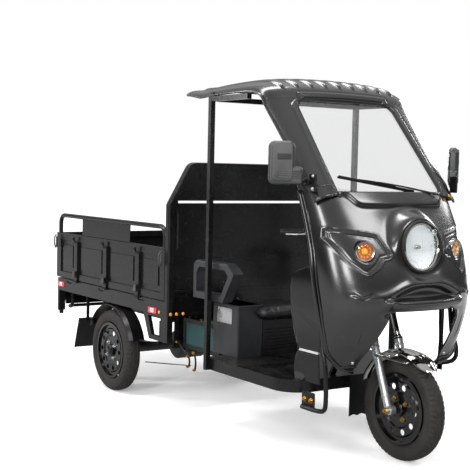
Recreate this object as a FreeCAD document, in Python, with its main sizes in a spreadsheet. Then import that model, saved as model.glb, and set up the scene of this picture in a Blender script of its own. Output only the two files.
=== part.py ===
import FreeCAD, Part
import Sketcher
import math
import os
import re
from FreeCAD import Placement, Rotation, Vector

# Electric cargo tricycle with an open-sided moulded cab and a tipping cargo bed.
# X points forward, Y to the vehicle's left, Z up, in millimetres.
# The origin is on the ground under the middle of the vehicle.

SIZES = {
    # Wheels
    "front_axle_x": 1261, "rear_axle_x": -755, "half_track": 469, "wheel_radius": 245, "tyre_width": 96,
    "tread_width": 56, "sidewall_lean": 5, "rim_radius": 158,
    "rim_width": 84, "flange_height": 9, "rim_wall": 4, "bead_seat": 13, "well_depth": 12, "disc_setback": 14,
    "ring_rise": 7, "ring_inner": 84, "ring_outer": 134, "rim_hole_radius": 14, "rim_hole_circle": 109,
    "rim_hole_count": 10, "drum_radius": 70, "drum_width": 42, "hub_radius": 34, "hub_width": 92,
    "hub_chamfer": 5, "axle_radius": 9, "running_gap": 0.3,
    # Chassis
    "rail_y": 260, "rail_width": 50, "rail_height": 60, "rail_top": 510, "low_rail_y": 170,
    "low_rail_bottom": 305, "low_rail_height": 50, "kick_x": -380, "cheek_wall": 4, "cross_half": 405,
    "down_tube_radius": 17, "down_tube_x": 984, "neck_radius": 30, "neck_bottom": 697, "neck_top": 880,
    "axle_tube_radius": 26, "tube_end_gap": 18, "motor_radius": 88, "motor_length": 230, "motor_y": 60,
    "motor_round": 16, "spring_y": 330, "spring_width": 50, "leaf_thickness": 7, "leaf_count": 4,
    "spring_front_x": -400, "spring_rear_x": -1110, "spring_eye_z": 345, "spring_eye_radius": 16,
    "spring_pin_radius": 6, "bracket_wall": 5,
    # Steering
    "rake": 20.6, "leg_lead": 17, "fork_y": 78, "fork_offset": 43, "leg_radius": 19, "leg_cap": 4,
    "stanchion_radius": 14, "leg_top": 560, "crown_z": 690, "crown_thickness": 26, "crown_round": 12,
    "bar_z": 1000, "bar_radius": 11, "bar_clamp_half": 34, "bar_half": 345, "bar_sweep": 190, "bar_rise": 50,
    "bar_end": 175, "bar_bend": 50, "pod_length": 90, "pod_width": 170, "pod_height": 46, "pod_round": 14,
    "fender_gap": 23, "fender_width": 112, "fender_wall": 2.5, "fender_crown": 20, "fender_front_angle": 42,
    "fender_rear_angle": 160, "stay_z": 492,
    # Cargo bed
    "bed_rear": -1490, "bed_front": -95, "bed_half": 520, "sill_bottom": 536, "sill_top": 616,
    "sill_width": 45, "bed_floor_top": 604, "sheet_wall": 4, "sub_rail_y": 200, "sub_rail_width": 40,
    "tip_x": -1290, "tip_z": 523, "tip_pin_radius": 10, "tip_ear": 14, "tip_side_gap": 6,
    # Drop sides and tailgate
    "gate_bottom": 622, "gate_top": 912, "gate_thickness": 24, "gate_rib": 8, "gate_rib_width": 46,
    "gate_rib_slope": 34, "gate_frame": 40, "gate_press": 8, "gate_press_step": 5, "gate_press_inset": 34,
    "gate_gap": 6, "gate_end_gap": 2, "side_rail_top": 1041, "side_rail_radius": 13.5, "side_rail_bend": 54,
    "plate_start": -1151, "plate_end": -522, "plate_lap": 10,
    "hinge_radius": 5, "hinge_length": 46, "hinge_ear": 9, "hinge_z": 614, "side_hinge_out": 10,
    "tail_hinge_out": 3, "knuckle_radius": 8,
    # Headboard
    "head_top": 1384, "head_shoulder": 1150, "head_corner_y": 385, "head_depth": 35, "head_tube": 34,
    "head_round": 60, "head_edge_round": 11, "head_slot_z": 1166, "head_slot_height": 13, "head_slot_end": 455,
    "head_rib_low": 671, "head_rib_high": 845, "head_rib_height": 16, "head_rib_out": 6, "post_bottom": 400,
    "loop_radius": 5, "loop_y": 478, "loop_low": 905, "loop_high": 1105, "loop_out": 26,
    "bracket_rear": -333, "bracket_foot_rear": -262, "bracket_bottom": 391, "bracket_thick": 22,
    "bracket_frame": 26, "bracket_foot_front": -135,
    # Rear end of the bed
    "rear_post_wall": 22, "board_drop": 95, "board_lean": 30, "bumper_radius": 11, "bumper_bottom": 420,
    "bumper_out": 22, "bumper_inner_y": 110, "bumper_outer_y": 430, "foot_radius": 14, "foot_height": 22,
    "bed_fender_gap": 42, "bed_fender_width": 105, "bed_fender_crown": 14, "bed_fender_front_angle": 20,
    "bed_fender_arc": 135, "fender_stay": 20, "flap_width": 128, "flap_height": 205, "flap_wall": 4,
    "flap_x": -1140, "flap_top": 392, "flap_lean": 18,
    # Tipping ram
    "ram_x": -330, "ram_z": 322, "ram_pin_x": -890, "ram_pin_z": 500, "ram_barrel_radius": 24,
    "ram_rod_radius": 13, "ram_barrel_length": 400, "ram_eye_radius": 19, "ram_eye_width": 26,
    # Cab floor, seat and batteries
    "floor_rear": 254, "floor_front": 990, "floor_half": 470, "floor_top": 365, "floor_skirt": 60,
    "floor_corner": 130, "floor_wall": 4, "front_flap_half": 104, "front_flap_top": 364,
    "front_flap_bottom": 161, "box_x": 135, "box_length": 242, "box_y": -350, "box_width": 160,
    "box_top": 640, "box_round": 8, "seat_base_x": 150, "seat_base_length": 222, "seat_base_half": 185,
    "seat_base_top": 560, "louvre_height": 7, "louvre_depth": 6, "louvre_pitch": 18, "louvre_count": 7,
    "louvre_low": 395, "louvre_margin": 18, "seat_length": 330, "seat_half": 250, "seat_top": 640,
    "seat_round": 22, "arm_x": 90, "arm_length": 390, "arm_bottom": 664, "arm_top": 868, "arm_width": 60,
    "arm_y": 455, "arm_bar": 36, "arm_round": 12, "battery_x": -240, "battery_length": 370, "battery_y": 208,
    "battery_width": 92, "battery_bottom": 330, "battery_height": 165, "frame_bar": 20,
    # Cab frame
    "post_x": 290, "post_y": 483, "post_size": 26, "post_top": 1722, "roof_bar_end": 640,
    "tube_radius": 11, "tube_inset": 24, "tube_rear_x": 1038, "tube_front_x": 1210, "tube_low_z": 253,
    "tube_knee_z": 543, "tube_top_z": 1130, "tube_y": 415, "tube_bend": 50,
    # Cab shell
    "shell_wall": 8, "nose_bottom": 435, "nose_top": 1262, "nose_rear_x": 1000, "nose_front_x": 1408,
    "nose_half": 450, "arch_half": 240, "arch_top": 726, "arch_round": 60, "arch_flange": 60,
    "housing_lean": 34, "housing_rim": 8, "crease_top": 840, "crease_drop": 92, "crease_half": 230,
    "recess_depth": 22, "bill_top": 772, "bill_edge": 12, "bill_slope": 60, "bill_half": 206, "bill_out": 14,
    "lip_low": 1199, "lip_low_half": 238, "lip_high_half": 322, "lip_out": 13, "arrow_depth": 5,
    "roof_rear_x": 33, "roof_front_x": 1135, "roof_top": 1797, "cowl_z": 1268,
    "roof_half": 480, "roof_flat_half": 400, "roof_crown": 14, "roof_rib_width": 66, "roof_rib_pitch": 130,
    "roof_rib_height": 9, "roof_rib_rear_x": 80, "roof_rib_front_x": 742, "roof_rib_slope": 40,
    "glass_bottom_x": 1150, "glass_bottom_z": 1263, "glass_top_x": 780, "glass_top_z": 1694,
    "glass_bottom_half": 344, "glass_top_half": 317, "glass_thickness": 5, "glass_corner": 45,
    # Lamps and mirrors
    "lamp_x": 1346, "lamp_z": 1014, "lamp_radius": 106, "lamp_tilt": 5, "lamp_depth": 70, "bezel_width": 14,
    "bezel_edge": 5, "lens_thickness": 8, "lens_dome": 14, "indicator_x": 1284, "indicator_y": 286,
    "indicator_z": 995, "indicator_yaw": 21, "indicator_radius": 42, "indicator_ring": 5, "indicator_depth": 30,
    "indicator_dome": 9, "mirror_x": 994, "mirror_y": 550, "mirror_z": 1373, "mirror_height": 200, "mirror_width": 155, "mirror_depth": 42, "mirror_yaw": 42,
    "mirror_round": 14, "mirror_arm_radius": 11, "mirror_foot_x": 1040, "mirror_foot_z": 1262,
    # Leg shield
    "shield_wall": 8, "shield_half": 412, "shield_rear_x": 880, "shield_front_x": 1071, "shield_top": 920,
    "shield_side_front_x": 1120,
}

# Where the ribs and their hinges stand along the drop sides and the tailgate.
GATE_RIB_SHARES = (0.20, 0.49, 0.78)
TAIL_RIB_SHARES = (0.18, 0.5, 0.82)

# The nose, level by level: height, side edge, half width and front, as shares of its box.
NOSE_LEVEL_SHARES = (
    (0.000, 0.466, 0.856, 0.502), (0.056, 0.441, 0.878, 0.608), (0.151, 0.417, 0.916, 0.789),
    (0.254, 0.392, 0.951, 0.912), (0.380, 0.355, 0.978, 1.000), (0.502, 0.314, 0.996, 0.968),
    (0.683, 0.245, 1.000, 0.828), (0.852, 0.127, 0.996, 0.642), (1.000, 0.000, 0.991, 0.453))

# Half a level of the nose: how far forward and how far out, from its side edge to its middle.
NOSE_WRAP_SHARES = ((0.0, 1.0), (0.30, 0.955), (0.58, 0.83), (0.80, 0.60), (0.945, 0.31), (1.0, 0.0))

# The cab top from its rear lip to the cowl: length, height, half width, half of the flat top,
# height of its lower edge and crown, as shares of its box.
ROOF_STATION_SHARES = (
    (0.000, 0.945, 1.000, 1.000, 0.888, 0.80), (0.106, 0.964, 1.000, 0.995, 0.887, 0.95),
    (0.215, 0.979, 1.000, 0.985, 0.885, 1.00), (0.324, 0.992, 0.998, 0.970, 0.883, 1.00),
    (0.433, 1.000, 0.992, 0.940, 0.877, 1.00), (0.524, 1.000, 0.983, 0.905, 0.862, 0.90),
    (0.587, 0.983, 0.971, 0.870, 0.798, 0.60), (0.637, 0.940, 0.954, 0.845, 0.712, 0.25),
    (0.673, 0.858, 0.944, 0.825, 0.635, 0.00), (0.710, 0.751, 0.938, 0.815, 0.552, 0.00),
    (0.769, 0.608, 0.933, 0.828, 0.437, 0.00), (0.828, 0.464, 0.929, 0.840, 0.297, 0.00),
    (0.887, 0.321, 0.927, 0.850, 0.183, 0.00), (0.946, 0.178, 0.923, 0.860, 0.083, 0.00),
    (1.000, 0.045, 0.917, 0.870, 0.000, 0.00))

# The arrow-shaped recess round an indicator: half width and height, as shares of the nose's box.
ARROW_SHARES = ((0.938, 0.791), (0.904, 0.797), (0.504, 0.767), (0.478, 0.759), (0.373, 0.658), (0.409, 0.643),
                (0.467, 0.640), (0.538, 0.595), (0.649, 0.554), (0.698, 0.565), (0.816, 0.624), (0.951, 0.749))

# Half a section of the cab top: how far in from its edge and how far up, as shares.
ROOF_ARCH_SHARES = ((0.0, 0.0), (0.12, 0.45), (0.5, 0.84), (1.0, 1.0))

# The leg shield from top to bottom: length and height, as shares of its box.
SHIELD_SHARES = ((1.0, 1.0), (0.136, 0.908), (0.0, 0.641), (0.398, 0.429), (0.267, 0.180), (0.251, 0.0))

# The guard tube from the floor's corner round the foot of the nose, as shares of its box.
TUBE_SHARES = ((0.0, 0.0), (0.43, 0.05), (0.85, 0.18), (1.0, 0.36), (0.90, 0.61), (0.785, 1.0))

doc = FreeCAD.newDocument("CargoTricycle")
sheet = doc.addObject("Spreadsheet::Sheet", "Sizes")
for row, (alias, number) in enumerate(SIZES.items(), start=1):
    sheet.set("A%d" % row, alias)
    sheet.set("B%d" % row, str(number))
    sheet.setAlias("B%d" % row, alias)
doc.recompute()
k = sheet
PIECES = []
LYING = {"X": Rotation(Vector(0, 1, 0), 90), "Y": Rotation(Vector(1, 0, 0), -90), "Z": Rotation()}


def bound(words):
    """A sum of size names, with each name turned into its cell of the sheet."""
    return re.sub(r"[a-z]\w*", lambda found: "Sizes." + found[0] if found[0] in SIZES else found[0], words)


def worth(words):
    """The number that a sum of size names gives."""
    return float(sheet.evalExpression(bound(words)))


def tie(piece, **places):
    """Ties properties of a piece to the sheet. Two underscores in a name stand for a dot."""
    for name, words in places.items():
        piece.setExpression(name.replace("__", "."), bound(words))


def keep(piece, label):
    """Gives a finished sub-part its name."""
    piece.Label = label
    PIECES.append(piece)
    return piece


def named(label):
    """The finished sub-part with a name."""
    return [piece for piece in PIECES if piece.Label == label][0]


def box(x, y, z, length, width, height):
    """A block from its low corner."""
    piece = doc.addObject("Part::Box", "Box")
    tie(piece, Length=length, Width=width, Height=height,
        Placement__Base__x=x, Placement__Base__y=y, Placement__Base__z=z)
    return piece


def rod(axis, x, y, z, length, radius):
    """A round bar along an axis, from its low end."""
    piece = doc.addObject("Part::Cylinder", "Rod")
    piece.Placement = Placement(Vector(), LYING[axis])
    tie(piece, Height=length, Radius=radius, Placement__Base__x=x, Placement__Base__y=y, Placement__Base__z=z)
    return piece


def weld(*pieces):
    """Joins pieces into one solid."""
    joined = doc.addObject("Part::MultiFuse", "Weld")
    joined.Shapes = list(pieces)
    joined.Refine = True
    return joined


def carve(base, tool):
    """Takes one piece out of another."""
    left = doc.addObject("Part::Cut", "Carve")
    left.Base = base
    left.Tool = tool
    left.Refine = True
    return left


def twin(piece):
    """The mirror image of a piece across the vehicle's middle plane."""
    image = doc.addObject("Part::Mirroring", "Twin")
    image.Source = piece
    image.Normal = (0, 1, 0)
    return image


def group(*pieces):
    """Like pieces that stand apart in one sub-part."""
    together = doc.addObject("Part::Compound", "Group")
    together.Links = list(pieces)
    return together


def shaped(shape):
    """A piece whose form is worked out with Part's own functions."""
    seat = shape.Placement
    piece = doc.addObject("Part::Feature", "Shaped")
    piece.Shape = shape
    piece.Placement = seat
    return piece


def new_body(x="0", y="0", z="0", turn=None):
    """An empty body at a named place."""
    body = doc.addObject("PartDesign::Body", "Body")
    if turn:
        body.Placement = Placement(Vector(), turn)
    tie(body, Placement__Base__x=x, Placement__Base__y=y, Placement__Base__z=z)
    return body


def origin_part(body, role):
    """One of the body's own planes or axes."""
    return [part for part in body.Origin.OriginFeatures if part.Role == role][0]


def drawing(body, plane, corners, away="0"):
    """A closed straight-sided sketch on a plane of the body; each corner is tied to the sheet."""
    sketch = body.newObject("Sketcher::SketchObject", "Outline")
    sketch.AttachmentSupport = [(origin_part(body, plane + "_Plane"), "")]
    sketch.MapMode = "FlatFace"
    tie(sketch, AttachmentOffset__Base__z=away)
    spots = [Vector(worth(across), worth(up), 0) for across, up in corners]
    for index, spot in enumerate(spots):
        sketch.addGeometry(Part.LineSegment(spot, spots[(index + 1) % len(spots)]), False)
    for index in range(len(spots)):
        sketch.addConstraint(Sketcher.Constraint("Coincident", index, 2, (index + 1) % len(spots), 1))
    for index, (across, up) in enumerate(corners):
        for kind, words, value in (("DistanceX", across, spots[index].x), ("DistanceY", up, spots[index].y)):
            place = sketch.addConstraint(Sketcher.Constraint(kind, -1, 1, index, 1, value))
            sketch.setExpression("Constraints[%d]" % place, bound(words))
    return sketch


def ring_drawing(body, plane, across, up, radius):
    """A round sketch on a plane of the body."""
    sketch = body.newObject("Sketcher::SketchObject", "Circle")
    sketch.AttachmentSupport = [(origin_part(body, plane + "_Plane"), "")]
    sketch.MapMode = "FlatFace"
    spot = Vector(worth(across), worth(up), 0)
    sketch.addGeometry(Part.Circle(spot, Vector(0, 0, 1), worth(radius)), False)
    for kind, words, value in (("DistanceX", across, spot.x), ("DistanceY", up, spot.y)):
        place = sketch.addConstraint(Sketcher.Constraint(kind, -1, 1, 0, 3, value))
        sketch.setExpression("Constraints[%d]" % place, bound(words))
    place = sketch.addConstraint(Sketcher.Constraint("Radius", 0, worth(radius)))
    sketch.setExpression("Constraints[%d]" % place, bound(radius))
    return sketch


def turned(body, corners, arc="360", plane="XY", axis="V_Axis"):
    """A revolved ring: corners are distances from the axis and along it."""
    ring = body.newObject("PartDesign::Revolution", "Turned")
    ring.Profile = drawing(body, plane, corners)
    ring.ReferenceAxis = (ring.Profile[0], [axis])
    tie(ring, Angle=arc)
    return ring


def pad(body, plane, corners, length, away="0", middle=False, back=False):
    """An outline pushed out square to its plane."""
    block = body.newObject("PartDesign::Pad", "Pad")
    block.Profile = drawing(body, plane, corners, away)
    block.Midplane = middle
    block.Reversed = back
    tie(block, Length=length)
    return block


def pocket(body, sketch, length=None, back=False):
    """A sketch cut into the body: right through both ways, or to a depth."""
    cut = body.newObject("PartDesign::Pocket", "Pocket")
    cut.Profile = sketch
    if length is None:
        cut.Type = "ThroughAll"
        cut.Midplane = True
    else:
        tie(cut, Length=length)
        cut.Reversed = back
    return cut


def round_edges(body, radius, chosen):
    """Rounds the edges that a test picks, each given by its middle point and its direction."""
    doc.recompute()
    base = body.Tip
    names = []
    for index, edge in enumerate(base.Shape.Edges, start=1):
        middle = edge.valueAt((edge.FirstParameter + edge.LastParameter) / 2)
        run = edge.tangentAt((edge.FirstParameter + edge.LastParameter) / 2)
        if chosen(middle, run, edge):
            names.append("Edge%d" % index)
    fillet = body.newObject("PartDesign::Fillet", "Round")
    fillet.Base = (base, names)
    tie(fillet, Radius=radius)
    return fillet


def tube(points, radius, bend):
    """A round tube through the points: straight runs, and one bend radius at the corners."""
    points = [Vector(*point) for point in points]
    pieces = []
    last = points[0]
    for before, corner, after in zip(points, points[1:], points[2:]):
        back, ahead = (before - corner).normalize(), (after - corner).normalize()
        half = back.getAngle(ahead) / 2
        reach = min(bend / math.tan(half), 0.49 * (before - corner).Length, 0.49 * (after - corner).Length)
        enter, leave = corner + back * reach, corner + ahead * reach
        centre = corner + (back + ahead).normalize() * (reach / math.cos(half))
        disc = Part.Face(Part.Wire(Part.makeCircle(radius, enter, corner - enter)))
        axis = (enter - centre).cross(corner - enter)
        if (enter - last).Length > k.running_gap:
            pieces.append(Part.makeCylinder(radius, (enter - last).Length, last, enter - last))
        pieces.append(disc.revolve(centre, axis, 180 - 2 * math.degrees(half)))
        last = leave
    pieces.append(Part.makeCylinder(radius, (points[-1] - last).Length, last, points[-1] - last))
    return pieces[0].multiFuse(pieces[1:]).removeSplitter()


def tyre(label, x, y):
    """A tube tyre, solid in section, seated between the flanges of its rim."""
    body = new_body(x, y, "wheel_radius")
    bead, over = "rim_radius + running_gap", "rim_radius + flange_height + running_gap"
    foot = "rim_width / 2 - rim_wall - running_gap"
    low = "rim_radius + (wheel_radius - rim_radius) * 0.36"
    high = "rim_radius + (wheel_radius - rim_radius) * 0.80"
    side = [(bead, foot), (over, foot), (low, "tyre_width / 2"), (high, "tyre_width / 2 - sidewall_lean"),
            ("wheel_radius", "tread_width / 2")]
    other = [(radius, "-(%s)" % along) for radius, along in reversed(side)]
    turned(body, side + other)
    return keep(body, label)


def steel_rim(label, x, y, turn=None):
    """A pressed steel wheel with its disc towards -Y: drop-centre barrel, holed disc, drum and hub."""
    body = new_body(x, y, "wheel_radius", turn)
    half, lip = "rim_width / 2", "rim_radius + flange_height"
    face = "-(rim_width / 2 - disc_setback)"
    seat = "(rim_width / 2 - rim_wall - bead_seat)"
    slope = "(rim_width / 2 - rim_wall - bead_seat - well_depth / 2)"
    inner = "rim_radius - rim_wall"
    well = "rim_radius - well_depth"
    bore = "axle_radius + running_gap"
    barrel_out = [(inner, face), (inner, "-" + half), (lip, "-" + half), (lip, "rim_wall - " + half),
                  ("rim_radius", "rim_wall - " + half), ("rim_radius", "-" + seat), (well, "-" + slope),
                  (well, slope), ("rim_radius", seat), ("rim_radius", half + " - rim_wall"),
                  (lip, half + " - rim_wall"), (lip, half), (inner, half), (inner, seat + " + rim_wall / 2"),
                  (well + " - rim_wall", slope + " + rim_wall / 2"),
                  (well + " - rim_wall", "-rim_wall / 2 - " + slope),
                  ("rim_radius - well_depth / 2 - rim_wall", face + " + rim_wall")]
    disc_in = [("ring_outer", face + " + rim_wall"), ("ring_outer - ring_rise", face + " + rim_wall - ring_rise"),
               ("ring_inner + ring_rise", face + " + rim_wall - ring_rise"), ("ring_inner", face + " + rim_wall"),
               ("drum_radius", face + " + rim_wall"), ("drum_radius", face + " + drum_width"),
               ("hub_radius", face + " + drum_width"), ("hub_radius", "hub_width / 2"), (bore, "hub_width / 2"),
               (bore, "-hub_width / 2"), ("hub_radius - hub_chamfer", "-hub_width / 2"),
               ("hub_radius", "hub_chamfer - hub_width / 2"), ("hub_radius", face)]
    disc_out = [("ring_inner", face), ("ring_inner + ring_rise", face + " - ring_rise"),
                ("ring_outer - ring_rise", face + " - ring_rise"), ("ring_outer", face)]
    turned(body, barrel_out + disc_in + disc_out)
    hole = pocket(body, ring_drawing(body, "XZ", "rim_hole_circle", "0", "rim_hole_radius"))
    holes = body.newObject("PartDesign::PolarPattern", "Holes")
    holes.Originals = [hole]
    holes.Axis = (origin_part(body, "Y_Axis"), [""])
    tie(holes, Occurrences="rim_hole_count")
    body.Tip = holes
    return keep(body, label)


def wheels():
    """One steered front wheel and two driven rear wheels."""
    half_turn = Rotation(Vector(0, 0, 1), 180)
    for name, x, y, turn in (("front", "front_axle_x", "0", None), ("rear_right", "rear_axle_x", "-half_track", None),
                             ("rear_left", "rear_axle_x", "half_track", half_turn)):
        tyre("tyre_" + name, x, y)
        steel_rim("rim_" + name, x, y, turn)


def steer_x(height, ahead="-fork_offset"):
    """Where the steering axis, or a line the named distance ahead of the legs, is at a height."""
    return "front_axle_x - leg_lead + (%s) - (%s - wheel_radius) * tan(rake)" % (ahead, height)


def steer_point(height, ahead="-fork_offset"):
    """The same place as a point."""
    return (worth(steer_x(height, ahead)), 0, worth(height))


def raked(low, high, radius, ahead="-fork_offset", y="0"):
    """A round bar along the steering axis, or the named distance ahead of the legs, between two heights."""
    bar = doc.addObject("Part::Cylinder", "Raked")
    bar.Placement = Placement(Vector(), Rotation(Vector(0, -1, 0), k.rake))
    tie(bar, Radius=radius, Height="(%s - (%s)) / cos(rake)" % (high, low), Placement__Rotation__Angle="rake",
        Placement__Base__x=steer_x(low, ahead), Placement__Base__y=y, Placement__Base__z=low)
    return bar


def spring_hanger(x):
    """The arm, two cheeks and pin that carry one eye of the left leaf spring."""
    rear, length = x + " - spring_eye_radius", "spring_eye_radius * 2"
    under = "rail_top - rail_height"
    inner = "spring_y - spring_width / 2 - bracket_wall * 2"
    outer = "spring_y + spring_width / 2 + bracket_wall"
    drop = "rail_top - rail_height + bracket_wall * 2 - spring_eye_z + spring_eye_radius"
    return [box(rear, "rail_y", under, length, "spring_y + spring_width / 2 + bracket_wall * 2 - rail_y",
                "bracket_wall * 2"),
            box(rear, inner, "spring_eye_z - spring_eye_radius", length, "bracket_wall", drop),
            box(rear, outer, "spring_eye_z - spring_eye_radius", length, "bracket_wall", drop),
            rod("Y", x, inner, "spring_eye_z", "spring_width + bracket_wall * 4", "spring_pin_radius")]


def chassis():
    """Two high rear rails, two low front rails, cross-members, steering neck and its down tubes."""
    under = "rail_top - rail_height"
    rear = "tip_x - tip_ear"
    side = [box(rear, "rail_y - rail_width / 2", under, "kick_x + rail_width - tip_x + tip_ear", "rail_width",
                "rail_height"),
            box("kick_x", "rail_y - rail_width / 2", "low_rail_bottom", "rail_width", "rail_width",
                "rail_top - rail_height - low_rail_bottom"),
            box("kick_x", "low_rail_y - rail_width / 2", "low_rail_bottom", "floor_front - rail_width - kick_x",
                "rail_width", "low_rail_height"),
            box("kick_x", "low_rail_y - rail_width / 2", "low_rail_bottom", "rail_width",
                "rail_y - low_rail_y + rail_width", "low_rail_height"),
            box("ram_x - ram_eye_radius", "ram_barrel_radius + cheek_wall / 2", "low_rail_bottom",
                "ram_eye_radius * 3", "cheek_wall", "low_rail_height"),
            box("tip_x - tip_ear", "rail_y - rail_width / 2", under, "tip_ear * 2", "rail_width",
                "tip_z + tip_pin_radius - rail_top + rail_height")]
    for x in ("battery_x + frame_bar", "battery_x + battery_length - frame_bar * 2"):
        side.append(box(x, "low_rail_y", "low_rail_bottom", "frame_bar", "battery_y + battery_width - low_rail_y",
                        "battery_bottom - sheet_wall - low_rail_bottom"))
    for x in ("spring_front_x", "spring_rear_x"):
        side += spring_hanger(x)
    foot = (k.floor_front - k.rail_width * 1.5, k.low_rail_y, k.low_rail_bottom + k.low_rail_height / 2)
    knee = (k.down_tube_x, k.low_rail_y, k.spring_eye_z + k.rail_width * 2)
    height = k.neck_top - k.neck_radius * 1.2
    head = (k.down_tube_x, k.low_rail_y, height)
    side.append(shaped(tube([foot, knee, head, steer_point("neck_top - neck_radius * 1.2")],
                            k.down_tube_radius, k.rail_width)))
    half = weld(*side)
    crosses = [box(x, "-rail_y - rail_width / 2", "low_rail_bottom", "rail_width", "rail_y * 2 + rail_width",
                   "low_rail_height") for x in ("ram_x + ram_eye_radius * 1.5", "floor_rear")]
    crosses += [box("floor_front - rail_width * 2", "-cross_half", "low_rail_bottom", "rail_width",
                    "cross_half * 2", "low_rail_height"),
                box(rear, "-rail_y", under, "rail_width", "rail_y * 2", "rail_height - tip_pin_radius * 2"),
                box("kick_x", "-rail_y", "rail_top - rail_width", "rail_width", "rail_y * 2", "rail_width"),
                rod("Y", "ram_x", "-ram_barrel_radius - cheek_wall", "ram_z",
                    "ram_barrel_radius * 2 + cheek_wall * 2", "tip_pin_radius"),
                rod("Y", "tip_x", "-rail_y", "tip_z", "rail_y * 2", "tip_pin_radius"),
                raked("neck_bottom", "neck_top", "neck_radius")]
    whole = weld(half, twin(half), *crosses)
    bore = raked("neck_bottom - neck_radius", "neck_top + neck_radius", "stanchion_radius + running_gap")
    keep(carve(whole, bore), "main_frame")


def fork():
    """Telescopic fork: sliders, upper tubes, crown, stem and the wheel spindle."""
    spindle = rod("Y", "front_axle_x", "-fork_y - leg_radius * 1.5", "wheel_radius", "fork_y * 2 + leg_radius * 3",
                  "axle_radius")
    keep(spindle, "front_axle")
    lug = rod("Y", "front_axle_x", "fork_y - leg_radius * 0.8", "wheel_radius", "leg_radius * 1.6",
              "leg_radius * 1.1")
    slider = weld(raked("wheel_radius", "leg_top", "leg_radius", "0", "fork_y"),
                  raked("leg_top - leg_radius", "leg_top", "leg_radius + leg_cap / 2", "0", "fork_y"), lug)
    slider = carve(slider, spindle)
    keep(group(slider, twin(slider)), "fork_sliders")
    upper = raked("leg_top", "crown_z", "stanchion_radius", "0", "fork_y")
    body = new_body(turn=Rotation(Vector(0, -1, 0), k.rake))
    tie(body, Placement__Base__x=steer_x("crown_z", "0"), Placement__Base__z="crown_z",
        Placement__Rotation__Angle="rake")
    half, front, rear = "fork_y + leg_radius", "leg_radius", "-leg_radius - fork_offset"
    pad(body, "XY", [(front, "-(%s)" % half), (front, half), ("-" + front, half), (rear, "neck_radius"),
                     (rear, "-neck_radius"), ("-" + front, "-(%s)" % half)], "crown_thickness", middle=True)
    round_edges(body, "crown_round", lambda middle, run, edge: abs(run.z) > 0.9)
    stem = raked("crown_z - crown_thickness", "bar_z", "stanchion_radius")
    keep(weld(upper, twin(upper), body, stem), "fork_crown")


def handlebar():
    """A swept bar with its clamp and instrument pod, on top of the stem."""
    x, _, z = steer_point("bar_z")
    tip = (x - k.bar_sweep, k.bar_half, z + k.bar_rise)
    knee = (x - k.bar_sweep * 0.4, k.bar_half - k.bar_end, z + k.bar_rise)
    rise = (x, k.bar_clamp_half * 2, z)
    points = [tip, knee, rise]
    points += [(px, -py, pz) for px, py, pz in reversed(points)]
    bar = shaped(tube(points, k.bar_radius, k.bar_bend))
    clamp = rod("Y", steer_x("bar_z"), "-bar_clamp_half", "bar_z", "bar_clamp_half * 2", "bar_radius * 1.8")
    body = new_body(steer_x("bar_z", "-fork_offset - pod_length / 3"), "0", "bar_z + bar_radius * 0.4")
    pad(body, "XZ", [("0", "0"), ("pod_length", "0"), ("pod_length", "pod_height * 0.8"),
                     ("pod_length * 0.8", "pod_height"), ("0", "pod_height * 0.45")], "pod_width", middle=True)
    round_edges(body, "pod_round * 0.6", lambda middle, run, edge: abs(run.y) > 0.9 and middle.z > k.pod_height / 4)
    stem = raked("crown_z", "bar_z", "stanchion_radius")
    keep(carve(weld(bar, clamp, body), stem), "handlebar")


def front_fender():
    """A crowned strip over the front wheel, on two stays to the sliders."""
    body = new_body("front_axle_x", "0", "wheel_radius", Rotation(Vector(0, -1, 0), k.fender_front_angle))
    tie(body, Placement__Rotation__Angle="fender_front_angle")
    edge, flat = "fender_width / 2", "fender_width / 3.4"
    low = "wheel_radius + fender_gap - fender_crown"
    top = "wheel_radius + fender_gap"
    outer = [(low, "-" + edge), (top, "-" + flat), (top, flat), (low, edge)]
    inner = [(low + " - fender_wall", edge + " - fender_wall / 2"), (top + " - fender_wall", flat),
             (top + " - fender_wall", "-" + flat), (low + " - fender_wall", "fender_wall / 2 - " + edge)]
    strip = turned(body, outer + inner, "fender_rear_angle - fender_front_angle")
    strip.Reversed = True
    foot = steer_x("stay_z", "0")
    stay = box(foot + " - leg_radius / 2", "fender_width / 2 - fender_wall", "stay_z - leg_radius", "leg_radius",
               "fork_y - fender_width / 2 + fender_wall", "leg_radius * 2")
    stay = carve(stay, raked("wheel_radius", "leg_top", "leg_radius + running_gap / 10", "0", "fork_y"))
    whole = weld(body, stay, twin(stay))
    keep(whole, "front_fender")


def hinge_seat(middle, out, turn):
    """The fixed half of a gate's hinge: a pin between two ears, at a place along the sill."""
    length = "hinge_length + hinge_ear * 2 + running_gap * 8"
    start = "%s - hinge_length / 2 - hinge_ear - running_gap * 4" % middle
    ear_ends = (start, "%s + hinge_length / 2 + running_gap * 4" % middle)
    low, high = "hinge_z - hinge_radius", "hinge_radius * 2"
    if turn == "side":
        pieces = [rod("X", start, "bed_half + " + out, "hinge_z", length, "hinge_radius")]
        pieces += [box(end, "bed_half - sheet_wall", low, "hinge_ear", out + " + sheet_wall + hinge_radius", high)
                   for end in ear_ends]
    else:
        reach = "gate_gap + gate_thickness + %s" % out
        pieces = [rod("Y", "bed_rear - (%s)" % reach, start, "hinge_z", length, "hinge_radius")]
        pieces += [box("bed_rear - (%s) - hinge_radius" % reach, end, low, reach + " + hinge_radius + sheet_wall",
                       "hinge_ear", high) for end in ear_ends]
    return pieces


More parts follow.
